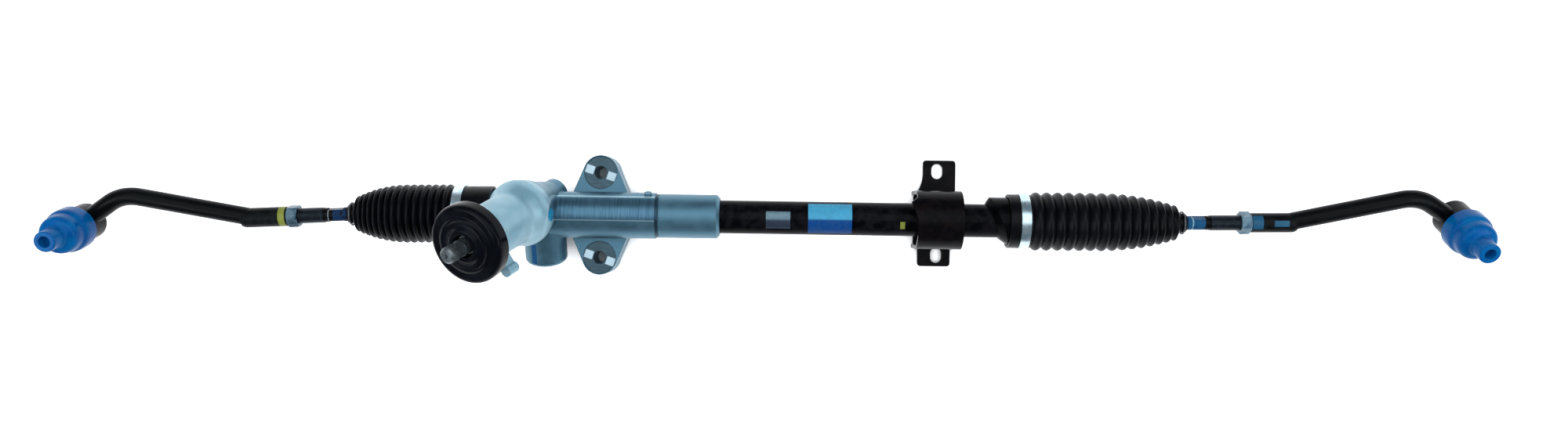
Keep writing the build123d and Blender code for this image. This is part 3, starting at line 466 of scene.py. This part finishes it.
def machined_areas():
    """Masks of the casting: the pad, its rims with a painted highlight and its end with a painted shade, the spot
    faces with their painted glints, the tower.
    """
    labels = ("Pad", "Pad Rim Highlight", "Pad End Shade", "Spot Faces", "Painted Glints", "Tower")
    group, _, made = new_group("machined areas", [], [(label, "NodeSocketFloat") for label in labels])
    x, y, z = surface_axes(group)

    def both(first, second):
        return maths(group, "MULTIPLY", first, second)

    upper = ranged(group, z, rack_height, rack_height + machined_border)
    along_pad = within(group, x, pad_start_x, pad_end_x, machined_border)
    across_pad = within(group, y, pad_low_y, pad_high_y, machined_border)
    link(group, both(both(along_pad, across_pad), upper), made.inputs["Pad"])
    far = within(group, y, *far_rim_highlight, machined_border)
    near = within(group, y, *near_rim_highlight, machined_border)
    long_rim_highlights = both(both(maths(group, "MAXIMUM", far, near), along_pad), upper)
    end_rim_highlight = both(both(within(group, x, *left_rim_highlight, machined_border), across_pad), upper)
    link(group, maths(group, "MAXIMUM", long_rim_highlights, end_rim_highlight), made.inputs["Pad Rim Highlight"])
    link(group, both(within(group, x, *pad_end_shade_span, machined_border), upper), made.inputs["Pad End Shade"])

    beyond_hole = maths(group, "SUBTRACT", maths(group, "ABSOLUTE", y), lug_reach)
    squares = maths(group, "ADD", maths(group, "POWER", x, 2.0), maths(group, "POWER", beyond_hole, 2.0))
    from_hole = maths(group, "SQRT", squares)
    spot_edge = (lug_spot_radius - machined_border, lug_spot_radius + machined_border)
    spot = ranged(group, from_hole, *spot_edge, start=1.0, end=0.0)
    face_low, face_high = lug_face_height - lug_face_depth, lug_face_height + lug_face_depth
    spot = both(spot, within(group, z, face_low, face_high, spot_border))
    link(group, spot, made.inputs["Spot Faces"])
    # Painted glints: two bright patches beside each lug's hole, where a lamp's reflection would fall
    sideways = maths(group, "MULTIPLY", beyond_hole, maths(group, "SIGN", y))
    across = maths(group, "MULTIPLY", x, cos(painted_glint_turn))
    across = maths(group, "MULTIPLY_ADD", sideways, sin(painted_glint_turn), across)
    upright = maths(group, "MULTIPLY", sideways, cos(painted_glint_turn))
    upright = maths(group, "MULTIPLY_ADD", x, -sin(painted_glint_turn), upright)
    painted_glint = within(group, maths(group, "ABSOLUTE", across), *painted_glint_across, spot_border)
    painted_glint = both(both(painted_glint, within(group, upright, *painted_glint_upright, spot_border)), spot)
    link(group, painted_glint, made.inputs["Painted Glints"])

    from_foot = vector_maths(group, "SUBTRACT", place_of_surface(group), joint_place("pinion_spin"))
    height = vector_maths(group, "DOT_PRODUCT", from_foot.outputs["Vector"], joint_axis("pinion_spin"))
    link(group, ranged(group, height.outputs["Value"], *tower_finish_rise), made.inputs["Tower"])
    return group


groups = {}


def group_node(tree, maker, **values):
    """A node of a shared group, which is made at its first use, with the values that are given."""
    if maker.__name__ not in groups:
        groups[maker.__name__] = maker()
    node = tree.nodes.new("ShaderNodeGroup")
    node.node_tree = groups[maker.__name__]
    for label, value in values.items():
        feed(tree, value, node.inputs[label.replace("_", " ")])
    return node


# Materials

def new_material(name):
    """A material with its nodes and its shader."""
    material = bpy.data.materials.new(name)
    material.use_nodes = True
    tree = material.node_tree
    return material, tree, tree.nodes["Principled BSDF"]


def bump(tree, shader, height, depth):
    """Fine relief from a height, as deep as depth."""
    node = tree.nodes.new("ShaderNodeBump")
    node.inputs["Strength"].default_value = 1.0
    node.inputs["Distance"].default_value = depth
    link(tree, height, node.inputs["Height"])
    link(tree, node.outputs["Normal"], shader.inputs["Normal"])
    return node


def finish_of(
    name, colour, blotch, roughness, spread, metallic=0.0, blotch_amount=0.6, blotch_scale=45.0,
    grain_scale=1600.0, grain_contrast=0.25, grain_depth=0.00006, worn_and_sheen=None, worn_and_sheen_amount=0.5, gloss=0.5,
):
    """A material with grain, blotches and, where an edge colour is given, outer edges in that colour: wear on most
    pieces, and a painted highlight along the bellows' fold crests.
    """
    material, tree, shader = new_material(name)
    grain = group_node(
        tree, surface_grain, Colour=colour, Blotch_Colour=blotch, Blotch_Amount=blotch_amount,
        Blotch_Scale=blotch_scale, Grain_Scale=grain_scale, Grain_Contrast=grain_contrast,
        Roughness=roughness, Roughness_Spread=spread,
    )
    colour_made = grain.outputs["Colour"]
    if worn_and_sheen:
        wear_and_sheen = group_node(tree, edge_wear_and_sheen, Amount=worn_and_sheen_amount)
        colour_made = mixed(tree, wear_and_sheen.outputs["Mask"], colour_made, worn_and_sheen)
    link(tree, colour_made, shader.inputs["Base Color"])
    link(tree, grain.outputs["Roughness"], shader.inputs["Roughness"])
    bump(tree, shader, grain.outputs["Height"], grain_depth)
    shader.inputs["Metallic"].default_value = metallic
    shader.inputs["Specular IOR Level"].default_value = gloss
    return material


def casting_finish():
    """Bead-blasted aluminium: paler on the tower, a milled pad, turned spot faces and a paint mark, with painted
    highlights on the pad's rims and spot faces and a painted shade at the pad's end.
    """
    material, tree, shader = new_material("cast aluminium")
    grain = group_node(
        tree, surface_grain, Colour=(0.070, 0.160, 0.220), Blotch_Colour=(0.105, 0.225, 0.295),
        Blotch_Amount=0.6, Blotch_Scale=60.0, Grain_Scale=2600.0, Grain_Contrast=0.55,
        Roughness=0.44, Roughness_Spread=0.12,
    )
    areas = group_node(tree, machined_areas).outputs
    milled = group_node(tree, fine_lines, Stretch=(30.0, 1.0, 1.0), Scale=40.0).outputs["Height"]
    swept = group_node(tree, fine_lines, Stretch=(1.0, 14.0, 14.0), Scale=90.0).outputs["Height"]
    spot = place_of_surface(tree)
    cloud = ranged(tree, noise(tree, spot, scale=35.0, detail=2.0), low=0.3, high=0.7)
    colour = grain.outputs["Colour"]
    for area, shade in (
        ("Tower", mixed(tree, cloud, (0.20, 0.38, 0.47), (0.30, 0.49, 0.57))),
        ("Pad", mixed(tree, milled, (0.020, 0.065, 0.105), (0.10, 0.22, 0.31))),
        # Painted highlight along the pad's rims, and painted shade at the step of its right end
        ("Pad Rim Highlight", (0.30, 0.46, 0.54)),
        ("Pad End Shade", (0.02, 0.05, 0.08)),
        ("Spot Faces", mixed(tree, swept, (0.015, 0.03, 0.04), (0.07, 0.12, 0.15))),
        # Painted highlight: the bright patches on the spot faces
        ("Painted Glints", (0.50, 0.66, 0.73)),
    ):
        colour = mixed(tree, areas[area], colour, shade)
    from_mark = vector_maths(tree, "DISTANCE", spot, tower_mark_place).outputs["Value"]
    ragged = noise(tree, spot, scale=300.0)
    from_mark = maths(tree, "MULTIPLY_ADD", ragged, tower_mark_raggedness, from_mark)
    mark = ranged(tree, from_mark, *tower_mark_edge, start=1.0, end=0.0)
    colour = mixed(tree, mark, colour, (0.01, 0.28, 0.50))
    link(tree, colour, shader.inputs["Base Color"])
    rough = grain.outputs["Roughness"]
    for area, change in (("Spot Faces", -0.12), ("Pad", -0.10)):
        rough = maths(tree, "MULTIPLY_ADD", areas[area], change, rough)
    link(tree, rough, shader.inputs["Roughness"])
    metal = maths(tree, "MULTIPLY_ADD", areas["Tower"], -0.5, 0.8)
    metal = maths(tree, "MULTIPLY_ADD", areas["Painted Glints"], -0.6, metal)
    link(tree, metal, shader.inputs["Metallic"])
    lines = maths(tree, "MULTIPLY", milled, areas["Pad"])
    rings = maths(tree, "MULTIPLY", swept, areas["Spot Faces"])
    tool_marks = maths(tree, "ADD", lines, rings)
    height = maths(tree, "MULTIPLY_ADD", grain.outputs["Height"], 0.6, tool_marks)
    relief = bump(tree, shader, height, depth=0.00007)
    eased = tree.nodes.new("ShaderNodeBevel")
    eased.samples = 4
    eased.inputs["Radius"].default_value = 0.0014
    link(tree, eased.outputs["Normal"], relief.inputs["Normal"])
    return material


def forging_finish(name):
    """The black coat of the forged pieces."""
    return finish_of(
        name, (0.0016, 0.0020, 0.0024), (0.004, 0.0055, 0.0062), roughness=0.34, spread=0.16,
        grain_scale=700.0, grain_contrast=0.5, grain_depth=0.00012, worn_and_sheen=(0.024, 0.030, 0.032),
        worn_and_sheen_amount=0.3, gloss=0.065,
    )


def rod_finish():
    """The forgings' black coat, with painted reflections and highlight lines along the tie rods."""
    material = forging_finish("tie rod coat")
    tree = material.node_tree
    shader = tree.nodes["Principled BSDF"]
    colour = shader.inputs["Base Color"].links[0].from_socket
    along_rack = surface_axes(tree)["X"]
    brushed = ranged(tree, noise(tree, place_of_surface(tree), scale=240.0), low=0.30, high=0.50)
    # Painted reflections and highlight lines on the flats, broken up by noise
    for low, high, shade in painted_rod_reflections:
        painted_reflection = maths(tree, "MULTIPLY", within(tree, along_rack, low, high, soft=0.0004), brushed)
        colour = mixed(tree, painted_reflection, colour, shade)
    link(tree, colour, shader.inputs["Base Color"])
    return material


def label_finish(name, base, band, band_low, band_high, metallic, roughness):
    """A plain label: one colour, with a second colour over part of its width."""
    material, tree, shader = new_material(name)
    spot = place_of_surface(tree)
    mottle = ranged(tree, noise(tree, spot, scale=260.0), low=0.3, high=0.7, start=0.0, end=0.25)
    over = within(tree, surface_axes(tree)["Y"], band_low, band_high, soft=0.0012)
    colour = mixed(tree, over, base, band)
    colour = mixed(tree, mottle, colour, (0.05, 0.10, 0.16))
    link(tree, colour, shader.inputs["Base Color"])
    cloud = noise(tree, spot, scale=90.0)
    rough = ranged(tree, cloud, low=0.3, high=0.7, start=roughness, end=roughness + 0.15)
    link(tree, rough, shader.inputs["Roughness"])
    shader.inputs["Metallic"].default_value = metallic
    shader.inputs["Specular IOR Level"].default_value = 0.15
    return material


cast_aluminium = casting_finish()
tube_paint = finish_of(
    "black tube paint", (0.0010, 0.0011, 0.0018), (0.0025, 0.0025, 0.0038), roughness=0.30, spread=0.14,
    grain_scale=500.0, grain_depth=0.00004, worn_and_sheen=(0.014, 0.013, 0.016), worn_and_sheen_amount=0.4, gloss=0.035,
)
bracket_paint = finish_of(
    "black bracket paint", (0.0016, 0.0018, 0.0028), (0.0045, 0.0034, 0.0038), roughness=0.30,
    spread=0.16, blotch_amount=0.3, blotch_scale=70.0, grain_scale=420.0, grain_depth=0.00005,
    worn_and_sheen=(0.016, 0.008, 0.007), worn_and_sheen_amount=0.25, gloss=0.045,
)
# The bellows' edge colour is a painted highlight along the fold crests
bellows_rubber = finish_of(
    "bellows rubber", (0.0016, 0.0018, 0.0028), (0.0035, 0.0042, 0.0065), roughness=0.36, spread=0.12,
    grain_scale=900.0, grain_depth=0.00003, worn_and_sheen=(0.013, 0.016, 0.022), gloss=0.09,
)
cover_rubber = finish_of(
    "cover rubber", (0.0018, 0.0024, 0.0042), (0.005, 0.007, 0.011), roughness=0.24, spread=0.20,
    blotch_scale=60.0, grain_scale=900.0, grain_depth=0.00003, gloss=0.06,
)
bush_rubber = finish_of(
    "bush rubber", (0.004, 0.004, 0.005), (0.009, 0.009, 0.010), roughness=0.70, spread=0.15, gloss=0.0
)
seal_rubber = finish_of(
    "seal rubber", (0.03, 0.018, 0.014), (0.05, 0.03, 0.024), roughness=0.5, spread=0.15, gloss=0.3
)
black_forging = forging_finish("black forging")
tie_rod_coat = rod_finish()
plated_steel = finish_of(
    "plated steel", (0.030, 0.065, 0.095), (0.07, 0.13, 0.17), roughness=0.30, spread=0.14,
    metallic=0.9, blotch_scale=150.0, worn_and_sheen=(0.20, 0.29, 0.34),
)
thread_steel = finish_of(
    "thread steel", (0.008, 0.011, 0.016), (0.020, 0.030, 0.042), roughness=0.34, spread=0.14,
    metallic=0.6, blotch_scale=150.0, worn_and_sheen=(0.07, 0.10, 0.13), worn_and_sheen_amount=0.6, gloss=0.2,
)
machined_steel = finish_of(
    "machined steel", (0.20, 0.22, 0.23), (0.30, 0.32, 0.33), roughness=0.32, spread=0.16,
    metallic=0.9, blotch_scale=120.0, worn_and_sheen=(0.5, 0.5, 0.5), worn_and_sheen_amount=0.4,
)
shaft_steel = finish_of(
    "shaft steel", (0.10, 0.12, 0.13), (0.17, 0.19, 0.20), roughness=0.38, spread=0.16,
    metallic=0.85, blotch_scale=150.0, worn_and_sheen=(0.30, 0.33, 0.34), worn_and_sheen_amount=0.4,
)
bearing_steel = finish_of(
    "bearing steel", (0.45, 0.47, 0.50), (0.52, 0.54, 0.56), roughness=0.18, spread=0.06,
    metallic=1.0, blotch_scale=80.0, grain_depth=0.00001,
)
band_steel = finish_of(
    "band steel", (0.38, 0.52, 0.58), (0.50, 0.62, 0.68), roughness=0.24, spread=0.10,
    metallic=0.95, blotch_scale=60.0, worn_and_sheen=(0.7, 0.76, 0.8), worn_and_sheen_amount=0.4,
)
spring_steel = finish_of(
    "spring steel", (0.08, 0.085, 0.09), (0.14, 0.14, 0.15), roughness=0.36, spread=0.14, metallic=0.85
)
seat_plastic = finish_of(
    "seat plastic", (0.72, 0.70, 0.62), (0.62, 0.60, 0.52), roughness=0.45, spread=0.1
)
cap_plastic = finish_of(
    "cap plastic", (0.0, 0.085, 0.31), (0.0, 0.17, 0.43), roughness=0.28, spread=0.12,
    blotch_scale=70.0, grain_depth=0.00003, grain_contrast=0.1, gloss=0.08,
)
yellow_paint = finish_of(
    "yellow-green paint", (0.25, 0.28, 0.045), (0.17, 0.19, 0.03), roughness=0.45, spread=0.15, gloss=0.2
)
blue_paint = finish_of(
    "blue marking paint", (0.004, 0.09, 0.24), (0.006, 0.13, 0.32), roughness=0.45, spread=0.15, gloss=0.2
)
# Blue painted reflection for the right rod's sleeve
painted_blue_reflection = finish_of(
    "painted blue reflection", (0.012, 0.085, 0.17), (0.030, 0.14, 0.22), roughness=0.40, spread=0.15, gloss=0.15
)
silver_label = label_finish(
    "silver label", base=(0.13, 0.20, 0.235), band=(0.045, 0.055, 0.085), band_low=-0.010,
    band_high=-0.002, metallic=0.6, roughness=0.3,
)
blue_label = label_finish(
    "blue label", base=(0.0, 0.055, 0.24), band=(0.065, 0.38, 0.60), band_low=-0.001,
    band_high=0.020, metallic=0.0, roughness=0.35,
)

finish_by_slot = {
    "cast_aluminium": cast_aluminium,
    "machined_steel": machined_steel,
    "bearing_steel": bearing_steel,
    "black_tube_paint": tube_paint,
    "black_forging": black_forging,
    "plated_steel": plated_steel,
    "band_steel": band_steel,
    "bellows_rubber": bellows_rubber,
    "bush_rubber": bush_rubber,
    "seal_rubber": seal_rubber,
    "seat_plastic": seat_plastic,
    "cap_plastic": cap_plastic,
    "spring_steel": spring_steel,
}
finish_by_node = {
    "mount_bracket": bracket_paint,
    "pinion_shaft": shaft_steel,
    "left_tie_rod": tie_rod_coat,
    "right_tie_rod": tie_rod_coat,
}


def dress_carried_nodes():
    """Gives each CAD node the finish of its material slot, or its own finish where it has one."""
    for subpart in frame["record"]["subparts"]:
        node = subpart["node"]
        mesh = frame["nodes"][node].data
        mesh.materials.clear()
        mesh.materials.append(finish_by_node.get(node, finish_by_slot[subpart["material_slot"]]))
        mesh.shade_smooth()
        mesh.set_sharp_from_angle(angle=radians(cad_sharp))


# Bellows

def fold_line(length, cuff_length):
    """The folds along the bellows, as (distance, valley radius, crest radius, width of the fold)."""
    full_folds = fold_count * full_fold_share
    widths = []
    for fold in range(fold_count):
        grown = min(1.0, (fold_count - 1 - fold) / full_folds)
        widths.append(short_pitch_share + (1 - short_pitch_share) * grown)
    scale = (length - cuff_length) / sum(widths)
    folds = []
    place = cuff_length
    for fold, width in enumerate(widths):
        grown = sin(min(1.0, (fold_count - 1 - fold) / full_folds) * pi / 2)
        crest = small_crest_radius + (crest_radius - small_crest_radius) * grown
        depth = fold_depth * (small_fold_share + (1 - small_fold_share) * grown)
        folds.append((place, crest - depth, crest, width * scale))
        place += width * scale
    return folds


def fold_surface(folds, last_valley, inset):
    """Points over the folds: sharp valleys and round crests."""
    line = []
    for index, (place, valley, crest, width) in enumerate(folds):
        following = folds[index + 1][1] if index + 1 < len(folds) else last_valley
        for step in range(fold_steps):
            t = step / fold_steps
            floor = valley + (following - valley) * t
            radius = floor + (crest - floor) * sin(pi * t) ** crest_roundness - inset
            line.append((place + width * t, radius))
    return line


def bellows(side, mouth_x, spigot_radius, cuff_length):
    """One bellows in three pieces: the cuff and folds, the bend, and the end on the rod."""
    ball = joint_place(f"{side}_bump")
    out = (joint_place(f"{side}_stud_swivel") - ball).normalized()
    start = Vector((mouth_x, 0, rack_height))
    neck = ball + out * neck_start
    length = (neck - start).length
    place = along(start, neck - start)
    folds = fold_line(length, cuff_length)
    neck_inner = rod_radius + soft_clearance
    mouth_inner = spigot_radius + mouth_gap
    cuff = mouth_inner + cuff_wall
    outer = fold_surface(folds, neck_inner + neck_wall, 0.0)
    inner = fold_surface(folds, neck_inner, bellows_wall)
    ball_distance = length - neck_start
    from_ball = [fold[0] - ball_distance for fold in folds]
    first = min(range(fold_count), key=lambda fold: abs(from_ball[fold] - bend_start))
    second = min(range(fold_count), key=lambda fold: abs(from_ball[fold] - bend_middle))
    first_point, second_point = first * fold_steps, second * fold_steps
    edge = cuff_wall / 4
    cuff_line = softened([
        (cuff_length - bellows_wall, mouth_inner), (0, mouth_inner, edge), (0, cuff, edge),
        (cuff_length - bellows_wall, cuff, edge), (cuff_length, folds[0][1]),
    ])[:-1]
    end = length + neck_length - bellows_wall
    neck_line = softened([
        (length, neck_inner + neck_wall), (end, neck_inner + neck_wall, neck_wall / 2),
        (end, neck_inner, neck_wall / 4), (length, neck_inner),
    ])
    mouth_part = inner[first_point::-1] + cuff_line + outer[: first_point + 1]
    bend_part = outer[first_point : second_point + 1] + inner[second_point : first_point - 1 : -1]
    end_part = outer[second_point:] + neck_line + inner[: second_point - 1 : -1]
    seat, rod = f"{side}_seat", f"{side}_tie_rod"
    for name, profile, bodies, low, high in (
        ("bellows", mouth_part, ("housing", "rack"), cuff_length, folds[first][0]),
        ("bellows_bend", bend_part, ("rack", seat), folds[first][0], folds[second][0]),
        ("bellows_end", end_part, (rod, seat), length, folds[second][0]),
    ):
        piece = spun(f"{side}_{name}", place, profile, bellows_rubber, sharp=60)
        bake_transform(piece)
        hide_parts(f"{side}_boot")


# Dust cover, bush, gaiters, threads, caps and shaft end

def dust_cover():
    """The rubber cover on the tower, a closed ring about the shaft."""
    profile = softened([
        (0.1121, 0.0105), (0.1236, 0.0105, 0.0012), (0.1236, 0.0150, 0.0016), (0.1208, 0.0178, 0.0020),
        (0.1206, 0.0218, 0.0010), (0.1224, 0.0240, 0.0014), (0.1206, 0.0264, 0.0012),
        (0.1210, 0.0368, 0.0062), (0.1065, 0.0366, 0.0016), (0.1065, 0.0330, 0.0008),
        (0.1115, 0.0320, 0.0020), (0.1088, 0.0283, 0.0010), (0.1050, 0.0283, 0.0006),
        (0.1050, 0.02505), (0.1121, 0.02505),
    ], steps=7)
    place = joint_line("pinion_spin")
    piece = spun("dust_cover_moulding", place, profile, cover_rubber, sides=128, closed=True, sharp=50)
    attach(piece, "housing")
    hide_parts("dust_cover")


def bush_edge(turn, inset):
    """How far the bush's outline is from the tube's middle: an arch above, straight legs below."""
    smallest_sine = 1e-6
    if cos(turn) >= 0:
        return bush_radius - inset
    to_side = (bush_radius - inset) / max(abs(sin(turn)), smallest_sine)
    to_foot = (rack_height - inset) / abs(cos(turn))
    return min(to_side, to_foot)


def bush_moulding():
    """The rubber bush under the bracket: an arch with straight legs, grooved round the tube."""
    place = along((bracket_x, 0, rack_height), (1, 0, 0))
    half, soft = bush_half_width, bush_rounding
    # From the outline to the bore: distance from the middle, radius or None on the outline, inset there
    face = [
        (half - soft, None, 0), (half - soft / 4, None, soft / 4), (half, None, soft),
        (half, channel_high, 0), (half - channel_depth, channel_high - channel_slant, 0),
        (half - channel_depth, channel_low + channel_slant, 0), (half, channel_low, 0),
        (half, tube_radius + soft_clearance / 10, 0),
    ]
    opposite = [(-distance, radius, inset) for distance, radius, inset in reversed(face)]
    points = []
    for distance, radius, inset in opposite + face:
        for side in range(bush_sides):
            turn = 2 * pi * side / bush_sides
            points.append(turned_point(place, radius or bush_edge(turn, inset), turn, distance))
    faces = ring_faces(len(opposite + face), bush_sides, closed=True)
    piece = new_piece("bush_moulding", points, faces, bush_rubber, sharp=45)
    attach(piece, "housing")
    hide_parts("bracket_bush")


def joint_gaiter(side):
    """The small rubber gaiter under a transport cap, between the joint's cup and the stud."""
    profile = softened([
        (0.01202, 0.0139), (0.01202, 0.0153, 0.0004), (0.0136, 0.0153, 0.0006),
        (0.0146, 0.0162, 0.0008), (0.0180, 0.0172, 0.0018), (0.0208, 0.0146, 0.0014),
        (0.0216, 0.0102, 0.0010), (0.0226, 0.0094, 0.0006), (0.0240, 0.0093, 0.0005),
        (0.0240, 0.0079, 0.0004), (0.0212, 0.0079, 0.0006), (0.0196, 0.0132, 0.0014),
        (0.0180, 0.0155, 0.0016), (0.0148, 0.0146, 0.0010), (0.0136, 0.0139, 0.0004),
    ], steps=5)
    place = joint_line(f"{side}_stud_swivel")
    piece = spun(f"{side}_gaiter", place, profile, bellows_rubber, closed=True, sharp=50)
    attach(piece, f"{side}_tie_rod")
    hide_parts(f"{side}_dust_boot")


def rod_thread(side):
    """The adjusting thread between the spanner flats and the jam nut, as one helical ridge."""
    place = rod_line(side)
    last = round((nut_distances[side] - thread_start) / thread_pitch * thread_steps)
    points = []
    for row in range(last + 1):
        distance = thread_start + row * thread_pitch / thread_steps
        for step in range(thread_sides):
            phase = (row / thread_steps - step / thread_sides) % 1.0
            rise = 1 - abs(2 * phase - 1)
            radius = thread_root + (thread_crest - thread_root) * min(1.0, thread_flat * rise)
            if row in (0, last):
                radius = rod_radius
            points.append(turned_point(place, radius, 2 * pi * step / thread_sides, distance))
    faces = ring_faces(last + 1, thread_sides)
    piece = new_piece(f"{side}_rod_thread", points, faces, thread_steel, sharp=30)
    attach(piece, f"{side}_tie_rod")


def stud_cap(side):
    """A transport cap: its bore from the closed end to the mouth, then its outside up to the hollow tip."""
    bore = [
        (0.0493, 0.0), (0.0493, 0.0062), (0.0434, 0.0062), (0.0434, 0.0076), (0.0367, 0.0155),
        (0.0281, 0.0155), (0.0241, 0.0196),
    ]
    outside = softened([
        (0.0125, 0.0196), (0.0125, 0.0210, 0.0006), (0.0268, 0.0210, 0.0055), (0.0295, 0.0183, 0.0020),
        (0.0418, 0.0183, 0.0070), (0.0448, 0.0098, 0.0028), (0.0620, 0.0098, 0.0016),
        (0.0620, 0.0052, 0.0008), (0.0530, 0.0052, 0.0010), (0.0530, 0.0),
    ], steps=7)
    place = joint_line(f"{side}_stud_swivel")
    piece = spun(f"{side}_cap_moulding", place, bore + outside, cap_plastic, sides=96, sharp=50)
    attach(piece, f"{side}_cap")
    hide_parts(f"{side}_stud_cap")


def serrations():
    """The splined end of the pinion, where the column's clamp sits, as two bands with a gap between."""
    place = joint_line("pinion_spin")
    around = serration_teeth * 4
    points = []
    for distance, grown in serration_rings:
        for side in range(around):
            raised = grown if side % 4 in (0, 1) else serration_valley_share * grown
            radius = serration_root + (serration_crest - serration_root) * raised
            points.append(turned_point(place, radius, 2 * pi * side / around, distance))
    faces = ring_faces(len(serration_rings), around)
    del faces[(rings_per_band - 1) * around : rings_per_band * around]
    piece = new_piece("pinion_serrations", points, faces, shaft_steel, sharp=20)
    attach(piece, "pinion")


# Labels, paint marks and painted reflections

def marks():
    """Labels, paint marks and painted reflections: from and to along their line, and from and to in degrees about
    it.
    """
    tube = along((0, 0, rack_height), (1, 0, 0))
    boss = along((mesh_point_x, 0, rack_height), (0, -cos(mesh_tilt), -sin(mesh_tilt)))
    stripe_end = yoke_boss_reach - 0.004
    for name, line, radius, low, high, start, end, material, columns, rows, slot in (
        ("silver_label", tube, tube_radius, 0.1600, 0.1830, -22, 39, silver_label, 24, 12, "band_steel"),
        ("blue_label", tube, tube_radius, 0.1999, 0.2414, -59, 62, blue_label, 24, 12, "cap_plastic"),
        (
            "tube_paint_dot", tube, tube_radius, 0.2870, 0.2915, 8, 34, yellow_paint, 10, 6,
            "black_tube_paint",
        ),
        (
            "yoke_boss_stripe", boss, yoke_boss_radius, 0.024, stripe_end, 16, 31, blue_paint, 6, 12,
            "cast_aluminium",
        ),
    ):
        piece = wrapped_patch(name, line, radius, low, high, start, end, material, columns, rows)
        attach(piece, "housing")
    outside = sleeve_radius + label_thickness
    section = [
        (ring_mark_start, sleeve_radius), (ring_mark_start, outside),
        (ring_mark_end, outside), (ring_mark_end, sleeve_radius),
    ]
    ring = spun("left_sleeve_ring", rod_line("left"), section, yellow_paint, closed=True)
    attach(ring, "left_tie_rod")
    # Painted reflections on the right rod's sleeve: a blue sheen next to the jam nut, and a highlight further out
    for name, low, high, start, end in (
        ("right_sleeve_reflection", 0.1136, 0.1236, -45, 40),
        ("right_sleeve_highlight", 0.1340, 0.1480, -12, 24),
    ):
        piece = wrapped_patch(
            name, rod_line("right"), sleeve_radius, low, high, start, end, painted_blue_reflection,
            columns=48, rows=4,
        )
        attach(piece, "right_tie_rod")


# Camera, floor and lamps

def place_camera():
    """The camera that the photograph's view needs, looking straight down."""
    data = bpy.data.cameras.new("camera")
    data.lens = camera_lens
    data.sensor_width = camera_sensor
    data.sensor_fit = "HORIZONTAL"
    camera = bpy.data.objects.new("camera", data)
    camera.location = camera_place
    camera.rotation_euler = (0, 0, camera_turn)
    bpy.context.scene.collection.objects.link(camera)
    bpy.context.scene.camera = camera


def seen_or_mirrored(tree):
    """1 for what the camera sees directly, mirrored or through glass, and 0 for what only lights."""
    path = tree.nodes.new("ShaderNodeLightPath")
    seen = maths(tree, "ADD", path.outputs["Is Camera Ray"], path.outputs["Is Glossy Ray"])
    seen = maths(tree, "ADD", seen, path.outputs["Is Transmission Ray"])
    return maths(tree, "MINIMUM", seen, 1.0)


def pale_floor():
    """A white floor that glows where it is seen, less so close under the rack, so its shadow stays."""
    material, tree, shader = new_material("pale floor")
    shader.inputs["Base Color"].default_value = (*floor_colour, 1)
    shader.inputs["Roughness"].default_value = 0.9
    shader.inputs["Specular IOR Level"].default_value = 0.1
    open_sky = tree.nodes.new("ShaderNodeAmbientOcclusion")
    open_sky.samples = 8
    open_sky.inputs["Distance"].default_value = shadow_distance
    clear = ranged(tree, open_sky.outputs["AO"], low=0.15, high=0.85)
    glow = maths(tree, "MULTIPLY", seen_or_mirrored(tree), clear)
    link(tree, glow, shader.inputs["Emission Strength"])
    shader.inputs["Emission Color"].default_value = (1, 1, 1, 1)
    left, right = floor_middle_x - floor_reach, floor_middle_x + floor_reach
    corners = [
        (left, -floor_reach, 0), (right, -floor_reach, 0), (right, floor_reach, 0), (left, floor_reach, 0),
    ]
    floor = new_piece("floor", corners, [(0, 1, 2, 3)], material)


def lamp(name, place, target, width, depth, power, colour):
    """A rectangular lamp that looks at its target."""
    data = bpy.data.lights.new(name, "AREA")
    data.shape = "RECTANGLE"
    data.size = width
    data.size_y = depth
    data.energy = power
    data.color = colour
    light = bpy.data.objects.new(name, data)
    light.location = place
    light.rotation_euler = (Vector(target) - Vector(place)).to_track_quat("-Z", "Y").to_euler()
    bpy.context.scene.collection.objects.link(light)


def studio():
    """The floor, the lamps and a pale sky."""
    pale_floor()
    for one_lamp in lamps:
        lamp(*one_lamp)
    world = bpy.data.worlds.new("studio")
    world.use_nodes = True
    background = world.node_tree.nodes["Background"]
    background.inputs["Color"].default_value = (*sky_colour, 1)
    background.inputs["Strength"].default_value = sky_strength
    bpy.context.scene.world = world
    bpy.context.scene.view_settings.view_transform = "Standard"


place_camera()
dress_carried_nodes()
bellows("left", mouth_x=-0.100, spigot_radius=0.023, cuff_length=0.038)
bellows("right", mouth_x=0.390, spigot_radius=0.0226, cuff_length=0.022)
dust_cover()
bush_moulding()
for end_side in ("left", "right"):
    stud_cap(end_side)
    joint_gaiter(end_side)
    rod_thread(end_side)
serrations()
marks()
studio()
